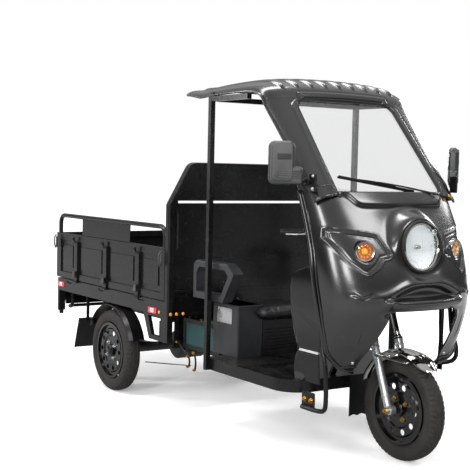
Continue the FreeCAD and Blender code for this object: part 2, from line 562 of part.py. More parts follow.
def bed_floor():
    """The floor sheet on its sills and sub-rails, with the hinge pins of the gates and the tip eyes."""
    length = "bed_front - bed_rear"
    sheet_piece = box("bed_rear", "sheet_wall - bed_half", "bed_floor_top - sheet_wall", length,
                      "bed_half * 2 - sheet_wall * 2", "sheet_wall")
    sill = box("bed_rear", "bed_half - sill_width", "sill_bottom", length, "sill_width", "sill_top - sill_bottom")
    rail = box("bed_rear", "sub_rail_y - sub_rail_width / 2", "sill_bottom", length, "sub_rail_width",
               "bed_floor_top - sheet_wall - sill_bottom")
    inner = "sub_rail_y - sub_rail_width / 2"
    eye_end = "rail_y - rail_width / 2 - tip_side_gap"
    eye = rod("Y", "tip_x", inner, "tip_z", "%s - (%s)" % (eye_end, inner), "tip_pin_radius * 2")
    eye_web = box("tip_x - tip_pin_radius * 2", inner, "tip_z", "tip_pin_radius * 4", "%s - (%s)" % (eye_end, inner),
                  "sill_bottom - tip_z + sheet_wall")
    side = [sill, rail, eye, eye_web]
    for share in GATE_RIB_SHARES:
        side += hinge_seat("bed_rear + (bed_front - bed_rear) * %s" % share, "side_hinge_out", "side")
    half = weld(*side)
    ends = [box(x, "-bed_half", "sill_bottom", "sill_width", "bed_half * 2", "sill_top - sill_bottom")
            for x in ("bed_rear", "bed_front - sill_width")]
    for share in TAIL_RIB_SHARES:
        ends += hinge_seat("bed_half * %s" % (2 * share - 1), "tail_hinge_out", "tail")
    whole = weld(sheet_piece, half, twin(half), *ends)
    bore = rod("Y", "tip_x", "-rail_y", "tip_z", "rail_y * 2", "tip_pin_radius + running_gap")
    keep(carve(whole, bore), "bed_floor")


def headboard():
    """The front wall of the bed: tube frame, ribbed sheet, slot, side loops and the brackets at its foot."""
    body = new_body("bed_front")
    half, tube_in = "bed_half", "bed_half - head_tube"
    corner_in = "head_corner_y - head_tube / 2"
    outer = [("-" + half, "post_bottom"), ("-" + half, "head_shoulder"), ("-head_corner_y", "head_top"),
             ("head_corner_y", "head_top"), (half, "head_shoulder"), (half, "post_bottom")]
    pad(body, "YZ", outer, "head_depth")
    bend = 0.5 * (k.head_shoulder + k.head_top)
    round_edges(body, "head_round", lambda middle, run, edge: abs(run.x) > 0.9 and middle.z > bend)
    doc.recompute()
    hollow = [("-(%s)" % tube_in, "sill_bottom"), ("-(%s)" % tube_in, "head_shoulder"),
              ("-(%s)" % corner_in, "head_top - head_tube"), (corner_in, "head_top - head_tube"),
              (tube_in, "head_shoulder"), (tube_in, "sill_bottom")]
    pocket(body, drawing(body, "YZ", hollow, "head_depth"), "head_depth / 2 - sheet_wall / 2")
    pocket(body, drawing(body, "YZ", hollow), "head_depth / 2 - sheet_wall / 2", back=True)
    below = [("-(%s)" % tube_in, "post_bottom"), ("-(%s)" % tube_in, "sill_bottom"),
             (tube_in, "sill_bottom"), (tube_in, "post_bottom")]
    pocket(body, drawing(body, "YZ", below), None)
    slot = [("-head_slot_end", "head_slot_z - head_slot_height / 2"), ("head_slot_end", "head_slot_z - head_slot_height / 2"),
            ("head_slot_end", "head_slot_z + head_slot_height / 2"), ("-head_slot_end", "head_slot_z + head_slot_height / 2")]
    pocket(body, drawing(body, "YZ", slot), None)
    for level in ("head_rib_low", "head_rib_high"):
        strip = [("-(%s)" % tube_in, level + " - head_rib_height / 2"), (tube_in, level + " - head_rib_height / 2"),
                 (tube_in, level + " + head_rib_height / 2"), ("-(%s)" % tube_in, level + " + head_rib_height / 2")]
        pad(body, "YZ", strip, "head_rib_out + sheet_wall", "head_depth / 2")
    round_edges(body, "head_edge_round", lambda middle, run, edge: middle.x > k.head_depth - k.running_gap
                and (abs(middle.y) > k.bed_half - k.running_gap or middle.z > k.head_top - k.running_gap))
    loop_x = k.bed_front + k.head_depth
    inner_x = loop_x - k.head_depth / 2
    y, out = k.loop_y, k.loop_out
    rope_loop = shaped(tube([(inner_x, y, k.loop_low), (loop_x + out, y, k.loop_low), (loop_x + out, y, k.loop_high),
                             (inner_x, y, k.loop_high)], k.loop_radius, k.loop_out * 0.7))
    bracket = new_body("0", "bed_half - bracket_thick")
    foot = [("bracket_rear", "sill_bottom"), ("bracket_foot_rear", "bracket_bottom"),
            ("bed_front + head_depth", "bracket_bottom"), ("bed_front + head_depth", "sill_bottom")]
    pad(bracket, "XZ", foot, "bracket_thick", back=True)
    window = [("bracket_rear + bracket_frame * 2.2", "sill_bottom - bracket_frame * 0.5"),
              ("bracket_foot_rear + bracket_frame * 1.1", "bracket_bottom + bracket_frame"),
              ("bracket_foot_front", "bracket_bottom + bracket_frame"),
              ("bracket_foot_front", "sill_bottom - bracket_frame * 0.5")]
    pocket(bracket, drawing(bracket, "XZ", window), None)
    keep(weld(body, rope_loop, twin(rope_loop), bracket, twin(bracket)), "headboard")


def rear_end():
    """Rear posts below the sills with rubber feet, the leaning lamp board and the bent bumper tubes."""
    post = box("bed_rear", "bed_half - sill_width", "post_bottom", "rear_post_wall", "sill_width",
               "sill_bottom - post_bottom")
    foot = rod("Z", "bed_rear + rear_post_wall / 2", "bed_half - sill_width / 2", "post_bottom - foot_height",
               "foot_height", "foot_radius")
    body = new_body("bed_rear", "0", "sill_bottom")
    pad(body, "XZ", [("0", "0"), ("sheet_wall", "0"), ("board_lean + sheet_wall", "-board_drop"),
                     ("board_lean", "-board_drop")], "bed_half * 2 - sill_width * 2", middle=True)
    start = k.bed_rear + k.sill_width - k.bumper_radius
    depth = k.bed_rear - k.bumper_out
    top, level = k.sill_bottom, k.bumper_bottom
    near, far = k.bumper_inner_y, k.bumper_outer_y
    bow = shaped(tube([(start, near, top), (start, near, level), (depth, near, level), (depth, far, level),
                       (start, far, level), (start, far, top)], k.bumper_radius, k.sill_width / 2))
    bumper = group(bow, twin(bow))
    keep(carve(weld(post, foot, twin(post), twin(foot), body), bumper), "rear_board")
    keep(bumper, "rear_bumper")


def bed_fenders():
    """Crowned guards over the rear wheels, hung from the bed, with rubber flaps behind."""
    body = new_body("rear_axle_x", "half_track", "wheel_radius", Rotation(Vector(0, -1, 0), k.bed_fender_front_angle))
    tie(body, Placement__Rotation__Angle="bed_fender_front_angle")
    edge, flat = "bed_fender_width / 2", "bed_fender_width / 3.4"
    top = "wheel_radius + bed_fender_gap + sheet_wall"
    low = top + " - bed_fender_crown"
    outer = [(low, "-" + edge), (top, "-" + flat), (top, flat), (low, edge)]
    inner = [(low + " - sheet_wall", edge), (top + " - sheet_wall", flat + " - sheet_wall / 2"),
             (top + " - sheet_wall", "sheet_wall / 2 - " + flat), (low + " - sheet_wall", "-" + edge)]
    strip = turned(body, outer + inner, "bed_fender_arc")
    strip.Reversed = True
    y, width = "half_track - fender_stay / 2", "fender_stay"
    crown_z = "wheel_radius * 2 + bed_fender_gap"
    seat = box("rear_axle_x - sill_width", y, crown_z, "sill_width * 2", width, "sill_bottom - (%s)" % crown_z)
    hang = box("flap_x - sheet_wall", y, "flap_top - fender_stay", "sheet_wall", width,
               "sill_bottom - flap_top + fender_stay")
    arm = box("flap_x - sheet_wall", y, "flap_top - fender_stay", "rear_axle_x - wheel_radius * 0.98 - flap_x + sheet_wall",
              width, "sheet_wall")
    guard = weld(body, seat, hang, arm)
    keep(group(guard, twin(guard)), "bed_fenders")
    flap = new_body("flap_x", "half_track", "flap_top", Rotation(Vector(0, 1, 0), k.flap_lean))
    tie(flap, Placement__Rotation__Angle="flap_lean")
    half = "flap_width / 2"
    pad(flap, "YZ", [("-" + half, "0"), (half, "0"), (half, "-flap_height"), ("-" + half, "-flap_height")], "flap_wall")
    piece = carve(flap, guard)
    keep(group(piece, twin(piece)), "rear_flaps")


def gate(length, middles, hinge_out):
    """A framed drop panel along X from zero, its outer face towards -Y, with tapered ribs and knuckles."""
    body = new_body()
    height = "gate_top - gate_bottom"
    pad(body, "XZ", [("0", "0"), (length, "0"), (length, height), ("0", height)], "gate_thickness", back=True)
    posts = ["0"] + middles + [length]
    for index, (start, end) in enumerate(zip(posts, posts[1:])):
        first = start + (" + gate_frame" if index == 0 else " + gate_rib_width / 2 + gate_press_step")
        last = end + (" - gate_frame" if index == len(middles) else " - gate_rib_width / 2 - gate_press_step")
        low, high = "gate_frame", height + " - gate_frame"
        bay = [(first, low), (last, low), (last, high), (first, high)]
        pocket(body, drawing(body, "XZ", bay), "gate_press", back=False)
        inset = "gate_press_inset"
        field = [(first + " + " + inset, low + " + " + inset), (last + " - " + inset, low + " + " + inset),
                 (last + " - " + inset, high + " - " + inset), (first + " + " + inset, high + " - " + inset)]
        pad(body, "XZ", field, "gate_press_step", "-gate_press")
    back_field = [("gate_frame", "gate_frame"), (length + " - gate_frame", "gate_frame"),
                  (length + " - gate_frame", height + " - gate_frame"), ("gate_frame", height + " - gate_frame")]
    pocket(body, drawing(body, "XZ", back_field, "-gate_thickness"), "gate_thickness - gate_press - sheet_wall", back=True)
    pieces = [body]
    for middle in middles:
        rib = new_body("%s - gate_rib_width / 2" % middle)
        slope = "gate_rib_slope"
        pad(rib, "YZ", [("gate_press", "gate_frame / 2"), ("-gate_rib", "gate_frame / 2 + gate_rib"),
                        ("-gate_rib", height + " - gate_frame / 2 - " + slope), ("gate_press", height + " - gate_frame / 2")],
            "gate_rib_width")
        low = "%s - hinge_length / 2" % middle
        drop = "hinge_z - gate_bottom"
        pieces += [rib, rod("X", low, "-(%s)" % hinge_out, drop, "hinge_length", "knuckle_radius"),
                   box(low, "-(%s)" % hinge_out, drop, "hinge_length", "knuckle_radius", "gate_frame / 2 - (%s)" % drop),
                   box(low, "-(%s)" % hinge_out, "0", "hinge_length", hinge_out + " + gate_press", "gate_frame / 2")]
    pin = rod("X", "0", "-(%s)" % hinge_out, "hinge_z - gate_bottom", length, "hinge_radius + running_gap")
    return carve(weld(*pieces), pin)


def side_gates():
    """The two drop sides with the bent rail and the plate above each."""
    start = "bed_rear + gate_end_gap"
    length = "bed_front - gate_gap - bed_rear - gate_end_gap"
    middles = ["(bed_front - bed_rear) * %s - gate_end_gap" % share for share in GATE_RIB_SHARES]
    panel = gate(length, middles, "side_hinge_out")
    tie(panel, Placement__Base__x=start, Placement__Base__y="-bed_half", Placement__Base__z="gate_bottom")
    middle = -k.bed_half + k.gate_thickness / 2
    radius = k.side_rail_radius
    rear, front = worth(start) + radius, worth("bed_front - gate_gap") - radius
    foot, top = k.gate_top - radius, k.side_rail_top - radius
    rail = shaped(tube([(rear, middle, foot), (rear, middle, top), (front, middle, top), (front, middle, foot)],
                       radius, k.side_rail_bend))
    infill = box("plate_start", "gate_thickness / 2 - bed_half - sheet_wall / 2", "gate_top - plate_lap",
                 "plate_end - plate_start", "sheet_wall", "side_rail_top - side_rail_radius - gate_top + plate_lap")
    right = weld(panel, rail, infill)
    keep(right, "side_gate_right")
    keep(twin(right), "side_gate_left")


def tailgate():
    """The drop panel across the rear of the bed."""
    length = "bed_half * 2 - gate_end_gap * 5"
    middles = ["bed_half * %s - gate_end_gap * 2.5" % (2 * share) for share in TAIL_RIB_SHARES]
    panel = gate(length, middles, "tail_hinge_out")
    panel.Placement = Placement(Vector(), Rotation(Vector(0, 0, 1), -90))
    tie(panel, Placement__Base__x="bed_rear - gate_gap - gate_thickness",
        Placement__Base__y="bed_half - gate_end_gap * 2.5", Placement__Base__z="gate_bottom")
    keep(panel, "tailgate_panel")


def rear_axle():
    """The driven axle: tube, spindles and spring seats, and the motor with its gear case."""
    tube_half = "(half_track - hub_width / 2 - tube_end_gap)"
    reach = "(half_track + hub_width / 2 + bracket_wall)"
    tube_bar = rod("Y", "rear_axle_x", "-" + tube_half, "wheel_radius", tube_half + " * 2", "axle_tube_radius")
    spindle = rod("Y", "rear_axle_x", "-" + reach, "wheel_radius", reach + " * 2", "axle_radius")
    seat = box("rear_axle_x - axle_tube_radius", "spring_y - spring_width / 2", "wheel_radius",
               "axle_tube_radius * 2", "spring_width", "axle_tube_radius")
    keep(weld(tube_bar, spindle, seat, twin(seat)), "rear_axle")
    body = new_body("rear_axle_x", "motor_y", "wheel_radius")
    half = "motor_length / 2"
    turned(body, [("axle_tube_radius + running_gap / 10", "-" + half), ("motor_radius * 0.8", "-" + half),
                  ("motor_radius", "motor_round - " + half), ("motor_radius", half + " - motor_round * 3"),
                  ("motor_radius * 0.72", half), ("axle_tube_radius + running_gap / 10", half)])
    keep(body, "drive_motor")


def leaf_springs():
    """Leaf springs from the rails' eyes over the axle, each a stack of curved leaves."""
    y = k.spring_y - k.spring_width / 2
    low = k.wheel_radius + k.axle_tube_radius
    middle = (k.spring_front_x + k.spring_rear_x) / 2
    span = (k.spring_front_x - k.spring_rear_x) / 2
    stack = []
    for leaf in range(int(k.leaf_count)):
        share = 1 - leaf / k.leaf_count * 0.75
        base = low + k.leaf_thickness * (k.leaf_count - leaf)
        rise = (k.spring_eye_z - base) * share ** 2
        ends = [Vector(middle - span * share, y, base + rise), Vector(middle + span * share, y, base + rise)]
        top = Part.Arc(ends[0], Vector(middle, y, base), ends[1]).toShape()
        down = Vector(0, 0, -k.leaf_thickness)
        under = top.copy()
        under.translate(down)
        sides = [Part.LineSegment(end, end + down).toShape() for end in ends]
        section = Part.Face(Part.Wire(Part.__sortEdges__([top, under] + sides)))
        stack.append(section.extrude(Vector(0, k.spring_width, 0)))
    for x, inward in ((k.spring_front_x, -1), (k.spring_rear_x, 1)):
        shift = inward * (k.spring_eye_radius - k.leaf_thickness)
        stack.append(Part.makeCylinder(k.spring_eye_radius, k.spring_width, Vector(x + shift, y, k.spring_eye_z),
                                       Vector(0, 1, 0)))
    leaves = shaped(stack[0].multiFuse(stack[1:]).removeSplitter())
    eyes = [rod("Y", x, "spring_y - spring_width", "spring_eye_z", "spring_width * 2", "spring_pin_radius")
            for x in ("spring_front_x", "spring_rear_x")]
    spring = carve(leaves, group(*eyes))
    keep(group(spring, twin(spring)), "leaf_springs")


def ram():
    """The tipping ram: barrel on the chassis, rod towards the bed."""
    base = Vector(k.ram_x, 0, k.ram_z)
    pin = Vector(k.ram_pin_x, 0, k.ram_pin_z)
    along = (pin - base).normalize()
    across = Vector(0, 1, 0)
    width = Vector(0, k.ram_eye_width / 2, 0)
    eye = Part.makeCylinder(k.ram_eye_radius, k.ram_eye_width, base - width, across)
    barrel = Part.makeCylinder(k.ram_barrel_radius, k.ram_barrel_length, base + along * (k.ram_eye_radius / 2), along)
    bore = Part.makeCylinder(k.ram_rod_radius + k.running_gap, k.ram_barrel_length * 2,
                             base + along * k.ram_barrel_radius * 2, along)
    hole = Part.makeCylinder(k.tip_pin_radius + k.running_gap, k.ram_eye_width * 3, base - width * 3, across)
    keep(shaped(barrel.fuse(eye).cut(bore).cut(hole).removeSplitter()), "ram_barrel")
    start = base + along * k.ram_barrel_radius * 3
    bar = Part.makeCylinder(k.ram_rod_radius, (pin - start).Length - k.ram_eye_radius / 2, start, along)
    rod_eye = Part.makeCylinder(k.ram_eye_radius, k.ram_eye_width, pin - width, across)
    rod_hole = Part.makeCylinder(k.tip_pin_radius + k.running_gap, k.ram_eye_width * 3, pin - width * 3, across)
    keep(shaped(bar.fuse(rod_eye).cut(rod_hole).removeSplitter()), "ram_rod")


def floor_block(inset):
    """The floor pan's block with round front corners, or the room inside it."""
    body = new_body("floor_rear", "0", "floor_top - " + inset)
    start, length, half = "-" + inset, "floor_front - floor_rear - " + inset, "floor_half - " + inset
    pad(body, "XY", [(start, "-(%s)" % half), (length, "-(%s)" % half), (length, half), (start, half)],
        "floor_skirt", back=True)
    front = k.floor_front - k.floor_rear - k.floor_corner
    round_edges(body, "floor_corner - " + inset, lambda middle, run, edge: abs(run.z) > 0.9 and middle.x > front)
    return body


def cab_floor():
    """The pressed floor pan with rounded front corners and a turned-down skirt, and the flap before it."""
    pan = carve(carve(floor_block("0"), floor_block("floor_wall")), named("main_frame"))
    keep(pan, "cab_floor")
    flap = new_body("floor_front", "0", "front_flap_top")
    edge, drop = "front_flap_half", "front_flap_top - front_flap_bottom"
    teeth = 8
    zigzag = [("-%s + front_flap_half * %s" % (edge, 2 * index / teeth),
               "-(%s)%s" % (drop, " + flap_wall * 2" if index % 2 else "")) for index in range(teeth + 1)]
    pad(flap, "YZ", [(edge, "0"), ("-" + edge, "0")] + zigzag, "flap_wall")
    keep(flap, "front_flap")


def seat():
    """Louvred seat base, side box, cushion and the moulded arm loops."""
    base = new_body("seat_base_x", "0", "floor_top")
    half, top = "seat_base_half", "seat_base_top - floor_top"
    pad(base, "YZ", [("-" + half, "0"), (half, "0"), (half, top), ("-" + half, top)], "seat_base_length")
    doc.recompute()
    low, inner = "louvre_low - floor_top", "seat_base_half - louvre_margin"
    slit = pocket(base, drawing(base, "YZ", [("-(%s)" % inner, low), (inner, low), (inner, low + " + louvre_height"),
                                             ("-(%s)" % inner, low + " + louvre_height")], "seat_base_length"),
                  "louvre_depth")
    rows = base.newObject("PartDesign::LinearPattern", "Louvres")
    rows.Originals = [slit]
    rows.Direction = (origin_part(base, "Z_Axis"), [""])
    tie(rows, Length="louvre_pitch * (louvre_count - 1)", Occurrences="louvre_count")
    base.Tip = rows
    keep(base, "seat_base")
    side_box = new_body("box_x", "box_y", "floor_top")
    pad(side_box, "XY", [("0", "0"), ("box_length", "0"), ("box_length", "box_width"), ("0", "box_width")],
        "box_top - floor_top")
    round_edges(side_box, "box_round", lambda middle, run, edge: middle.z > k.running_gap)
    keep(side_box, "side_box")
    arm = new_body("0", "arm_y - arm_width")
    rear, front, low, high, bar = "arm_x", "arm_x + arm_length", "arm_bottom", "arm_top", "arm_bar"
    loop = [(rear, low), (front + " - arm_length / 4", low), (front, high + " - arm_bar * 1.4"),
            (front + " - arm_length / 6", high), (rear + " + arm_bar", high), (rear, high + " - arm_bar")]
    pad(arm, "XZ", loop, "arm_width", back=True)
    window = [(rear + " + arm_bar", low + " + arm_bar"), (front + " - arm_length / 4 - arm_bar / 2", low + " + arm_bar"),
              (front + " - arm_bar * 1.4", high + " - arm_bar * 1.8"),
              (front + " - arm_length / 6 - arm_bar / 2", high + " - arm_bar"),
              (rear + " + arm_bar * 1.7", high + " - arm_bar"), (rear + " + arm_bar", high + " - arm_bar * 1.9")]
    pocket(arm, drawing(arm, "XZ", window), None)
    round_edges(arm, "arm_round", lambda middle, run, edge: abs(run.y) < 0.1
                and (middle.z > k.arm_top - k.running_gap or middle.x < k.arm_x + k.running_gap))
    pad_block = box("post_x - post_size / 2", "arm_y - arm_round", "arm_bottom", "post_size",
                    "post_y - post_size / 2 - arm_y + arm_round", "arm_bar")
    loop_piece = weld(arm, pad_block)
    keep(group(loop_piece, twin(loop_piece)), "arm_loops")
    cushion = new_body("seat_base_x - seat_round", "0", "seat_base_top + running_gap")
    pad(cushion, "XY", [("0", "-box_width"), ("seat_length", "-box_width"), ("seat_length", "seat_half"),
                        ("0", "seat_half")], "seat_top - seat_base_top")
    round_edges(cushion, "seat_round", lambda middle, run, edge: middle.z > k.seat_round)
    keep(cushion, "seat_cushion")


def battery():
    """Two battery packs, each in an angle frame beside the low rails."""
    pack = box("battery_x", "battery_y", "battery_bottom", "battery_length", "battery_width", "battery_height")
    keep(group(pack, twin(pack)), "battery_packs")
    whole = box("battery_x - sheet_wall", "battery_y - sheet_wall", "battery_bottom - sheet_wall",
                "battery_length + sheet_wall * 2", "battery_width + sheet_wall * 2", "battery_height + sheet_wall * 2")
    room = box("battery_x", "battery_y", "battery_bottom", "battery_length", "battery_width",
               "battery_height + sheet_wall * 2")
    window = box("battery_x + frame_bar", "battery_y - sheet_wall * 2", "battery_bottom + frame_bar",
                 "battery_length - frame_bar * 2", "battery_width + sheet_wall * 4", "battery_height - frame_bar * 2")
    cradle = carve(carve(whole, room), window)
    keep(group(cradle, twin(cradle)), "battery_frames")


def nose_rows(inset):
    """Points of the nose's outer skin, or of one set in by a wall, level by level."""
    depth = k.nose_front_x - k.nose_rear_x
    rows = []
    for up, side, wide, front in NOSE_LEVEL_SHARES:
        height = k.nose_bottom + up * (k.nose_top - k.nose_bottom)
        side_x = k.nose_rear_x + side * depth
        run = k.nose_rear_x + front * depth - inset - side_x
        half = wide * k.nose_half - inset
        right = [Vector(side_x + run * along, -half * out, height) for along, out in NOSE_WRAP_SHARES]
        rows.append(right + [Vector(spot.x, -spot.y, spot.z) for spot in reversed(right[:-1])])
    return rows


def nose_skin(inset):
    """The nose's skin, or one set in from it, as one smooth surface."""
    skin = Part.BSplineSurface()
    skin.interpolate(nose_rows(inset))
    return skin


def walled(outer, inner):
    """A solid between two smooth skins, closed along their four edges."""
    faces = [outer.toShape(), inner.toShape()]
    for way, place in (("u", 0), ("u", 1), ("v", 2), ("v", 3)):
        rims = [skin.uIso(skin.bounds()[place]) if way == "u" else skin.vIso(skin.bounds()[place])
                for skin in (outer, inner)]
        faces.append(Part.makeRuledSurface(rims[0].toShape(), rims[1].toShape()))
    shell = Part.makeShell(faces)
    shell.sewShape()
    solid = Part.makeSolid(shell)
    if solid.Volume < 0:
        solid.reverse()
    return solid


def layer(outer, inner):
    """The nose's wall between two depths below its outer skin."""
    return walled(nose_skin(outer), nose_skin(inner))


def through(*edges):
    """An outline across the vehicle, pushed forward through the nose."""
    depth = k.nose_front_x - k.nose_rear_x + k.arch_flange
    return Part.Face(Part.Wire(list(edges))).extrude(Vector(depth, 0, 0))


def arch_tool(grow):
    """The space of the wheel opening, with rounded upper corners."""
    half = k.arch_half - grow
    low = Vector(k.floor_front, -half, -k.running_gap)
    solid = Part.makeBox(k.nose_front_x, half * 2, k.arch_top - grow, low)
    corners = [edge for edge in solid.Edges if abs(edge.tangentAt(0).x) > 0.9 and edge.BoundBox.ZMin > k.nose_bottom]
    return solid.makeFillet(k.arch_round - grow, corners)


def crease_tool(grow):
    """The arched recess over the wheel opening, open at its foot."""
    half, foot = k.crease_half + grow, k.crease_top - k.crease_drop
    low = Vector(k.nose_rear_x, -half, foot)
    crown = Vector(k.nose_rear_x, 0, k.crease_top + grow)
    drop = Vector(0, 0, k.arch_top - k.arch_round - foot)
    far = Vector(low.x, -low.y, low.z)
    return through(Part.Arc(low, crown, far).toShape(), Part.makeLine(far, far + drop),
                   Part.makeLine(far + drop, low + drop), Part.makeLine(low + drop, low))


def bill():
    """The bill that stands out of the recess over the wheel."""
    low, tip = k.arch_top - k.shell_wall, k.nose_front_x + k.bill_out * 2
    back = k.nose_front_x - k.arch_flange
    corners = [Vector(back, -k.bill_half, low), Vector(tip, -k.bill_half, low),
               Vector(tip, -k.bill_half, low + k.bill_edge), Vector(tip - k.bill_slope, -k.bill_half, k.bill_top),
               Vector(back, -k.bill_half, k.bill_top)]
    wedge = Part.Face(Part.makePolygon(corners + corners[:1])).extrude(Vector(0, k.bill_half * 2, 0))
    return wedge.common(layer(-k.bill_out, k.arch_flange))


def nose_shell():
    """The moulded front: wrapped skin, lamp housing, arched recess with its bill, cowl lip and arrow recesses."""
    wall = k.shell_wall
    shell = layer(0, wall)
    spot, way = lamp_line(0)
    housing = Part.makeCone(k.lamp_radius + k.bezel_width + k.housing_rim + k.housing_lean,
                            k.lamp_radius + k.bezel_width + k.housing_rim, k.lamp_depth * 2,
                            spot - way * k.lamp_depth * 2, way)
    shell = shell.fuse(housing.common(layer(-k.lamp_depth * 2, wall)))
    lip = [(-k.lip_high_half, k.nose_top), (-k.lip_low_half, k.lip_low), (k.lip_low_half, k.lip_low),
           (k.lip_high_half, k.nose_top)]
    corners = [Vector(k.nose_rear_x, y, z) for y, z in lip + lip[:1]]
    shell = shell.fuse(through(*Part.makePolygon(corners).Edges).common(layer(-k.lip_out, wall)))
    shell = shell.fuse(layer(0, k.recess_depth + wall).common(crease_tool(wall)))
    shell = shell.cut(layer(-wall, k.recess_depth).common(crease_tool(0))).fuse(bill())
    shell = shell.fuse(layer(0, k.arch_flange).common(arch_tool(-wall))).cut(arch_tool(0))
    skins = layer(-wall, k.arrow_depth)
    rise = k.nose_top - k.nose_bottom
    for side in (-1, 1):
        corners = [Vector(k.nose_rear_x, side * k.nose_half * out, k.nose_bottom + rise * up)
                   for out, up in ARROW_SHARES + ARROW_SHARES[:1]]
        shell = shell.cut(skins.common(through(*Part.makePolygon(corners).Edges)))
        shell = shell.cut(lamp_hole(k.indicator_radius + k.indicator_ring, k.indicator_depth, side))
    return shell.cut(lamp_hole(k.lamp_radius + k.bezel_width, k.lamp_depth, 0)).removeSplitter()


def lamp_line(side):
    """The middle of a lamp's face and the way it looks: the headlamp's, or an indicator's on one side."""
    if side:
        yaw = math.radians(side * k.indicator_yaw)
        return (Vector(k.indicator_x, side * k.indicator_y, k.indicator_z), Vector(math.cos(yaw), math.sin(yaw), 0))
    tilt = math.radians(k.lamp_tilt)
    return Vector(k.lamp_x, 0, k.lamp_z), Vector(math.cos(tilt), 0, math.sin(tilt))


def lamp_hole(radius, depth, side):
    """The bore in the nose for a lamp."""
    spot, way = lamp_line(side)
    return Part.makeCylinder(radius + k.running_gap, depth * 4, spot - way * depth * 2, way)


def roof_rows(inset):
    """Points of the cab top's outer skin, or of one set in by a wall, station by station."""
    rows = []
    rise = k.roof_top - k.cowl_z
    for along, up, wide, flat, low, crown in ROOF_STATION_SHARES:
        x = k.roof_rear_x + along * (k.roof_front_x - k.roof_rear_x)
        top, foot = k.cowl_z + up * rise - inset, k.cowl_z + low * rise
        edge, shelf = wide * k.roof_half - inset, flat * k.roof_flat_half - inset / 2
        right = [Vector(x, -edge + (edge - shelf) * across, foot + (top - foot) * height)
                 for across, height in ROOF_ARCH_SHARES]
        right += [Vector(x, -shelf / 2, top + crown * k.roof_crown * 0.75), Vector(x, 0, top + crown * k.roof_crown)]
        rows.append(right + [Vector(spot.x, -spot.y, spot.z) for spot in reversed(right[:-1])])
    return rows


def roof_skin(inset):
    """The cab top's skin as one smooth surface."""
    skin = Part.BSplineSurface()
    skin.interpolate(roof_rows(inset))
    return skin


def roof_rib(y, skin):
    """One raised rib along the roof, sloped into it at both ends."""
    low = Vector(k.roof_rib_rear_x, y, 0)
    line = []
    steps = 10
    for step in range(steps + 1):
        x = k.roof_rib_rear_x + (k.roof_rib_front_x - k.roof_rib_rear_x) * step / steps
        plumb = Part.makeLine(Vector(x, y, k.cowl_z), Vector(x, y, k.roof_top * 2))
        hits = [point for point in skin.intersect(plumb.Curve)[0]]
        height = max(point.Z for point in hits)
        ends = min(x - k.roof_rib_rear_x, k.roof_rib_front_x - x) / k.roof_rib_slope
        line.append(Vector(x, y, height + k.roof_rib_height * (min(ends, 1) * 1.2 - 0.2)))
    top = Part.BSplineCurve()
    top.interpolate(line)
    top = top.toShape()
    down = Vector(0, 0, -k.shell_wall * 0.8)
    under = top.copy()
    under.translate(down)
    ends = [Part.LineSegment(point, point + down).toShape() for point in (line[0], line[-1])]
    face = Part.Face(Part.Wire(Part.__sortEdges__([top, under] + ends)))
    face.translate(Vector(0, -k.roof_rib_width / 2, 0))
    return face.extrude(Vector(0, k.roof_rib_width, 0))


def glass_prism(thickness, grow):
    """The windscreen's outline, pushed out square to the glass by half the thickness each way."""
    low = Vector(k.glass_bottom_x, 0, k.glass_bottom_z)
    high = Vector(k.glass_top_x, 0, k.glass_top_z)
    up = (high - low).normalize()
    out = up.cross(Vector(0, 1, 0))
    low_half, high_half = k.glass_bottom_half + grow, k.glass_top_half + grow
    low = low - up * grow - out * (thickness / 2)
    high = high + up * grow - out * (thickness / 2)
    corners = [low - Vector(0, low_half, 0), low + Vector(0, low_half, 0),
               high + Vector(0, high_half, 0), high - Vector(0, high_half, 0)]
    solid = Part.Face(Part.makePolygon(corners + corners[:1])).extrude(out * thickness)
    edges = [edge for edge in solid.Edges
             if abs((edge.Vertexes[1].Point - edge.Vertexes[0].Point).normalize().dot(out)) > 0.999]
    return solid.makeFillet(k.glass_corner, edges)


def cab_shell():
    """The moulded nose, the moulded roof that runs on into the windscreen pillars, and the windscreen."""
    skin = roof_skin(0)
    top = walled(skin, roof_skin(k.shell_wall))
    for step in range(6):
        rib = roof_rib((step - 2.5) * k.roof_rib_pitch, skin)
        top = top.fuse(rib)
    top = top.cut(glass_prism(k.shell_wall * 12, k.running_gap))
    nose = nose_shell()
    pane = glass_prism(k.glass_thickness, 0).cut(nose).cut(top)
    keep(shaped(max(pane.Solids, key=lambda solid: solid.Volume)), "windscreen")
    return keep(shaped(top), "cab_top"), keep(shaped(nose.cut(top)), "nose_shell")


def cab_frame(top):
    """Square rear posts and roof bars."""
    size, low = "post_size", "floor_top - floor_skirt"
    inner = "post_y - post_size / 2"
    side = weld(box("post_x - post_size / 2", inner, low, size, size, "post_top - floor_top + floor_skirt"),
                box("post_x - post_size / 2", inner, "post_top - post_size", "roof_bar_end - post_x", size, size),
                box("post_x - post_size / 2", "post_y - post_size", "post_top - post_size", size, size,
                    "post_size * 1.9"))
    cross = box("post_x - post_size / 2", "-post_y", "post_top - post_size", size, "post_y * 2", size)
    whole = weld(side, twin(side), cross)
    keep(carve(carve(whole, top), named("cab_floor")), "cab_frame")


